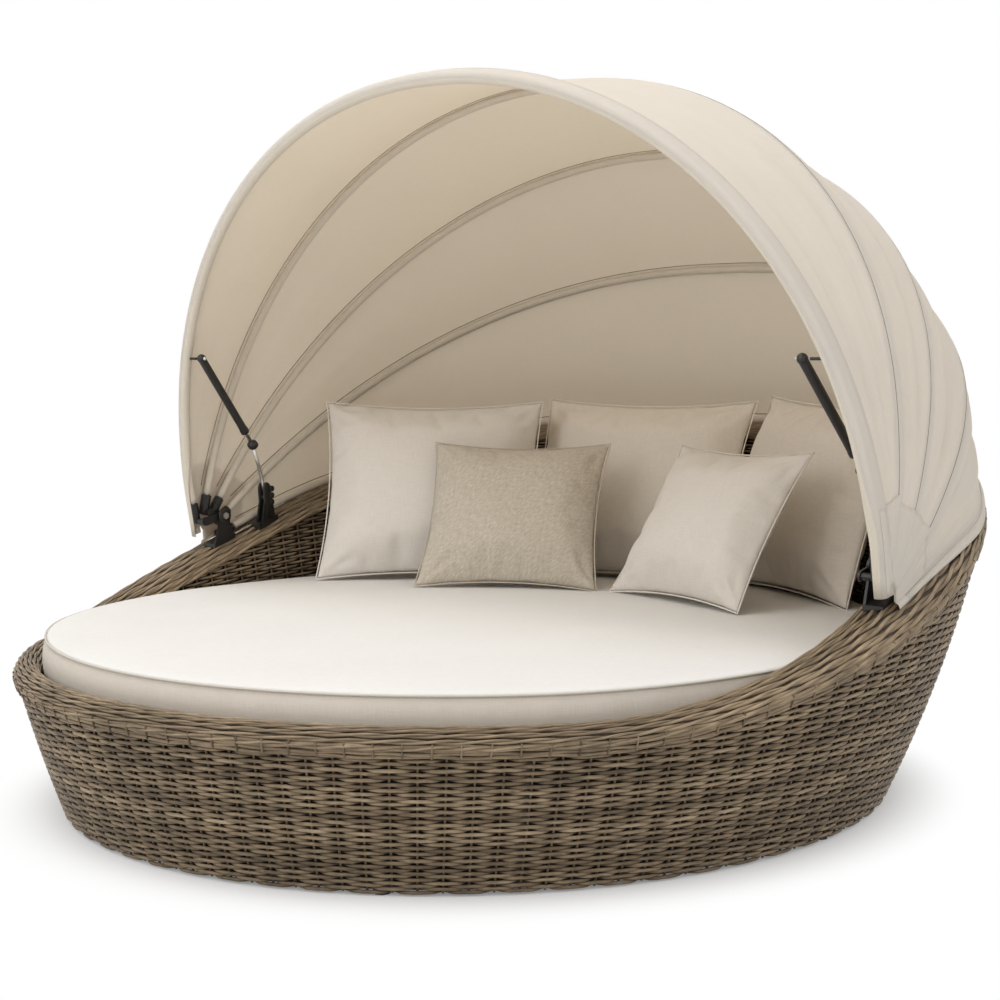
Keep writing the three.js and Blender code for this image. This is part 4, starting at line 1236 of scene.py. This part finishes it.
for i in range(4):
    surface, out = panel_surface(i)
    if i == 3:
        hem, hem_out = hem_surface(surface, out)
        surface = np.concatenate([surface, hem], 1)
        out = np.concatenate([out, hem_out], 1)
    surface, out = with_flaps(surface, out)
    panel = new_canopy_piece(
        f"canopy_sheet_{i}", [(surface + out * cloth_thickness / 2, out)], cloth_thickness, i,
        replaces=[f"canopy_panel_{i}"],
    )
    columns = len(panel_shares)
    patch = new_canopy_piece(
        f"corner_patches_{i}", corner_patches(surface[:, :columns], out[:, :columns]),
        patch_thickness, i,
    )


# Front binding: the front edge is folded round the front bow and stitched. It shows the
# canopy's cloth outside and, inside, the sleeve's darker copy of it, which is painted shade.
binding_back = 0.026
binding_ahead = 0.0112
binding_thickness = 0.0012
binding_gap = 0.0009
binding_inner_gap = 0.0008
binding_start = 80
binding_end = -130
binding_end_at_cup = -15
binding_steps = 14
inner_fold = 7


def front_edge():
    """Rows round the front bow, from the panel's face over the edge to the inside.

    Down at the cups, where a stub comes out of the inner side, the fold is only half as far.
    """
    line, out = lines[0], outward[0]
    ends = ((0, 1), (-1, -2))
    low = [line[end] + unit(line[end] - line[inner]) * flap_length for end, inner in ends]
    line = np.concatenate([low[:1], line, low[1:]])
    out = np.concatenate([out[:1], out, out[-1:]])
    near = np.concatenate([[1], near_cup(row_turns), [1]])
    along = unit(np.gradient(line, axis=0))
    forward = unit(np.cross(out, along))
    forward *= np.sign(-forward[len(line) // 2][1])
    face = cloth_lift + cup_lift * near + cloth_thickness + binding_gap
    reach = np.radians(binding_end + (binding_end_at_cup - binding_end) * near)
    ahead, rise = [-binding_back + 0 * near, -binding_back / 2 + 0 * near], [face, face]
    for share in np.linspace(0, 1, binding_steps):
        turn = math.radians(binding_start) * (1 - share) + reach * share
        ahead.append(binding_ahead * np.cos(turn))
        rise.append(np.where(turn > 0, face, binding_ahead + binding_inner_gap) * np.sin(turn))
    f, o = np.stack(ahead, 1)[..., None], np.stack(rise, 1)[..., None]
    points = line[:, None] + forward[:, None] * f + out[:, None] * o
    normals = unit(np.cross(np.gradient(points, axis=1), along[:, None]))
    normals *= np.sign((normals[:, 0] * out).sum(-1).mean())
    return points, normals


edge, edge_out = front_edge()
binding = new_sheets(
    "front_binding", [(edge, edge_out)], binding_thickness, canopy_cloth, body="hoop_0",
    slot="canopy_fabric",
)
binding.data.materials.append(sleeve_cloth_painted_shade)
edge_columns = edge.shape[1]
# Painted shade: the inner fold takes the sleeve's darker copy of the canopy cloth.
for face in binding.data.polygons[:(len(edge) - 1) * 2 * edge_columns]:
    if inner_fold <= face.index % (2 * edge_columns) < edge_columns:
        face.material_index = 1


# Seams and hem: the panels' outer seams are twin needle stitched in taupe thread over the
# middle bows, and the strip behind the rear bow is a doubled hem.
outer_seam_width = 0.0024
outer_seam_height = 0.0016
hem_gap = 0.0002
seam_thread = woven_cloth(
    "seam_thread", (0.34, 0.30, 0.245), (0.22, 0.19, 0.15), canopy_thread, 0.5, 0.0003
)
for i in range(1, 4):
    near = near_cup(row_turns)
    rise = cloth_lift + cup_lift * near - seam_depth * (1 - near) + cloth_thickness
    path = lines[i] + outward[i] * rise[:, None]
    seam = rod(path, outward[i], outer_seam_width, outer_seam_height, 6)
    new_strands(f"seam_thread_{i}", [seam], seam_thread, body=bow_bodies[i], slot="canopy_fabric")

surface, out = panel_surface(3)
hem, hem_out = hem_surface(surface, out)
new_sheets(
    "hem_band", [(hem + hem_out * (1.5 * cloth_thickness + hem_gap), hem_out)], cloth_thickness,
    canopy_cloth, slot="canopy_fabric",
)


# Sleeve seams: each bow's sleeve is sewn to the panels with a line of stitches on either
# side, which shows inside the canopy along both edges of the rib.
sleeve_seam = 0.0125
sleeve_seam_limit = 0.42
sleeve_seam_width = 0.0026
sleeve_seam_height = 0.0018
sleeve_seam_sink = 0.0003
inside = slice(3, -3)

for i in range(5):
    cords = []
    for panel, near_start in ((i - 1, False), (i, True)):
        if not 0 <= panel <= 3:
            continue
        room = spans(lines[panel] - lines[panel + 1])
        share = np.minimum(sleeve_seam_limit, sleeve_seam / room)[:, None]
        surface, out = panel_surface(panel, share if near_start else 1 - share)
        path = surface[inside, 0] - out[inside, 0] * sleeve_seam_sink
        cords.append(rod(path, out[inside, 0], sleeve_seam_width, sleeve_seam_height, 6))
    new_strands(f"sleeve_seam_{i}", cords, seam_thread, body=bow_bodies[i], slot="canopy_fabric")


# Hub hardware: black nylon knuckles on a steel bolt, on a bracket that is screwed to the
# rim. Moulded parts have round edges, and a round cover lies under the bolt's head.
sides = ("left", "right")
finish_nodes([f"hub_bracket_{side}" for side in sides], black_nylon, 0.0012)
for part in ("hub_bolt", "tie_rod"):
    finish_nodes([f"{part}_{side}" for side in sides], bright_steel, 0.0006)
finish_nodes([f"knuckle_{i}_{side}" for i in range(4) for side in sides], black_nylon, 0.0010)
across = np.array([1.0, 0, 0])
cover_diameter = 0.038
cover_width = 0.004
cover_stand = 0.0066
round_edge = 0.0010
boss_sides = 28


def round_boss(centre, diameter, width):
    """A short round bar that lies across, with its edges rounded."""
    steps = np.array([-0.5, -0.5, 0.5, 0.5]) * width + np.array([0, 1, -1, 0]) * round_edge
    sizes = diameter - np.array([2, 0, 0, 2]) * round_edge
    path = centre + across * steps[:, None]
    return rod(path, np.tile([0, 0, 1.0], (4, 1)), sizes, sizes, boss_sides)


for side, sign in zip(sides, (-1, 1)):
    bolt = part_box(f"hub_bolt_{side}")
    head = min(abs(bolt[0][0]), abs(bolt[1][0]))
    centre = np.array([sign * (head + cover_stand), hub[1], hub[2]])
    cover = round_boss(centre, cover_diameter, cover_width)
    new_strands(f"hub_cover_{side}", [cover], black_nylon, slot="plastic")


# Knee stays: a steel rod in a black grip that runs up to its end on the front bow, a round
# knee, and a bent steel lever that sits in a slim black housing on the rim.
finish_nodes([f"lever_bracket_{side}" for side in sides], black_nylon, 0.0012)
finish_nodes([f"bow_clamp_{side}" for side in sides], black_nylon)
stay_inset = 0.112
stay_reach = 0.390
rod_diameter = 0.009
rod_sides = 14
knee_diameter = 0.025
knee_room = 0.011
knee_pin_diameter = 0.013
knee_pin_width = 0.027
grip_diameter = 0.0185
grip_start = 0.040
grip_end_round = 0.004
grip_steps = np.array([0, 0.001, 0.010, 0.014, 0.03, 0.2])
grip_swells = np.array([-0.002, 0.0022, 0.0022, 0.0006, 0, 0, 0, 0])
grip_sides = 20
stay_end_diameter = 0.0208
screw_diameter = 0.0080
screw_width = 0.0028
screw_stand = 0.0108
ball_steps = 13
ball_tip = 0.0004
lever_inset = 0.052
lever_y = 0.182
lever_z = 0.530
lever_eye_diameter = 0.016
bend_y = 0.168
bend_rise = 0.052
bend_steps = 12
bend_enter_share = 0.55
bend_leave_share = 0.35
housing_width = 0.027
housing_wall = 0.0068
housing_back = 0.002
housing_slope = 0.10
housing_climbs = np.array([-0.050, -0.02, 0.0, 0.018, 0.026, 0.032, 0.0352, 0.036])
housing_shares = np.array([1.0, 1.0, 1.0, 1.0, 0.88, 0.64, 0.32, 0.03])
lever_room = 0.0054
lobe_back = 0.0115
lobe_diameter = 0.0145
lobe_rises = (0.020, 0.004, -0.012)


def straight_rod(path, facing, sizes, sides):
    return rod(path, np.tile(facing, (len(path), 1)), sizes, sizes, sides)


def round_ball(centre, axis, facing, diameter, sides):
    swing = np.linspace(-0.5, 0.5, ball_steps) * math.pi
    path = centre + axis * (diameter / 2 * np.sin(swing))[:, None]
    return straight_rod(path, facing, np.maximum(diameter * np.cos(swing), ball_tip), sides)


for side, sign in zip(sides, (-1, 1)):
    tilt = math.radians(bow_tilts[0])
    up = np.array([0, -math.sin(tilt), math.cos(tilt)])
    ahead = np.array([0, -up[2], up[1]])
    top = hub + ahead * lobe_start + up * stay_reach
    top[0] = sign * (bow_half_width - stay_inset)
    knee_low, knee_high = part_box(f"knee_{side}")
    knee = (np.array(knee_low) + np.array(knee_high)) / 2
    reach = np.linalg.norm(top - knee)
    rise = unit(top - knee)
    facing = np.array([0, -1.0, 0])

    path = knee + rise * np.linspace(knee_room, reach, 6)[:, None]
    steel = straight_rod(path, facing, rod_diameter, rod_sides)
    screw = round_boss(top - across * sign * screw_stand, screw_diameter, screw_width)
    new_strands(
        f"stay_steel_{side}", [steel, screw], bright_steel, body=f"stay_{side}",
        **in_place_of(f"stay_rod_{side}"),
    )
    grip_length = reach - grip_start
    steps = np.concatenate([grip_steps, [grip_length - grip_end_round, grip_length]])
    path = knee + rise * (grip_start + steps)[:, None]
    grip = straight_rod(path, facing, grip_diameter + grip_swells, grip_sides)
    end = round_ball(top, rise, facing, stay_end_diameter, grip_sides)
    new_strands(
        f"stay_grip_{side}", [grip, end], black_nylon, body=f"stay_{side}",
        **in_place_of(f"stay_sleeve_{side}"),
    )

    joint = round_ball(knee, up, facing, knee_diameter, 24)
    pin = round_boss(knee, knee_pin_diameter, knee_pin_width)
    new_strands(
        f"knee_ball_{side}", [joint, pin], black_nylon, body=f"lever_arm_{side}",
        **in_place_of(f"knee_{side}"),
    )

    lever_x = sign * (bow_half_width - lever_inset)
    pivot = np.array([lever_x, lever_y, lever_z])
    bend = np.array([lever_x, bend_y, lever_z + bend_rise])
    t = np.linspace(0, 1, bend_steps)[:, None]
    enter = bend + (pivot - bend) * bend_enter_share
    leave = bend + (knee - bend) * bend_leave_share
    curve = enter * (1 - t) ** 2 + 2 * bend * t * (1 - t) + leave * t ** 2
    path = np.concatenate([[pivot], curve, [knee - unit(knee - bend) * knee_room]])
    bar = straight_rod(path, across, rod_diameter, rod_sides)
    eye = round_boss(pivot, lever_eye_diameter, rod_diameter)
    new_strands(
        f"lever_bar_{side}", [bar, eye], bright_steel, body=f"lever_arm_{side}",
        **in_place_of(f"lever_{side}"),
    )

    cheeks = []
    for offset in (-lever_room - housing_wall / 2, lever_room + housing_wall / 2):
        back = -housing_slope * housing_climbs - housing_back
        path = pivot + np.stack([0 * housing_climbs, back, housing_climbs], 1)
        path[:, 0] += offset
        facings = np.tile(across, (len(path), 1))
        cheeks.append(rod(path, facings, housing_width * housing_shares, housing_wall, grip_sides))
        for lobe in lobe_rises:
            centre = pivot + np.array([offset, lobe_back, lobe])
            cheeks.append(round_boss(centre, lobe_diameter, housing_wall))
    new_strands(f"lever_housing_{side}", cheeks, black_nylon, slot="plastic")
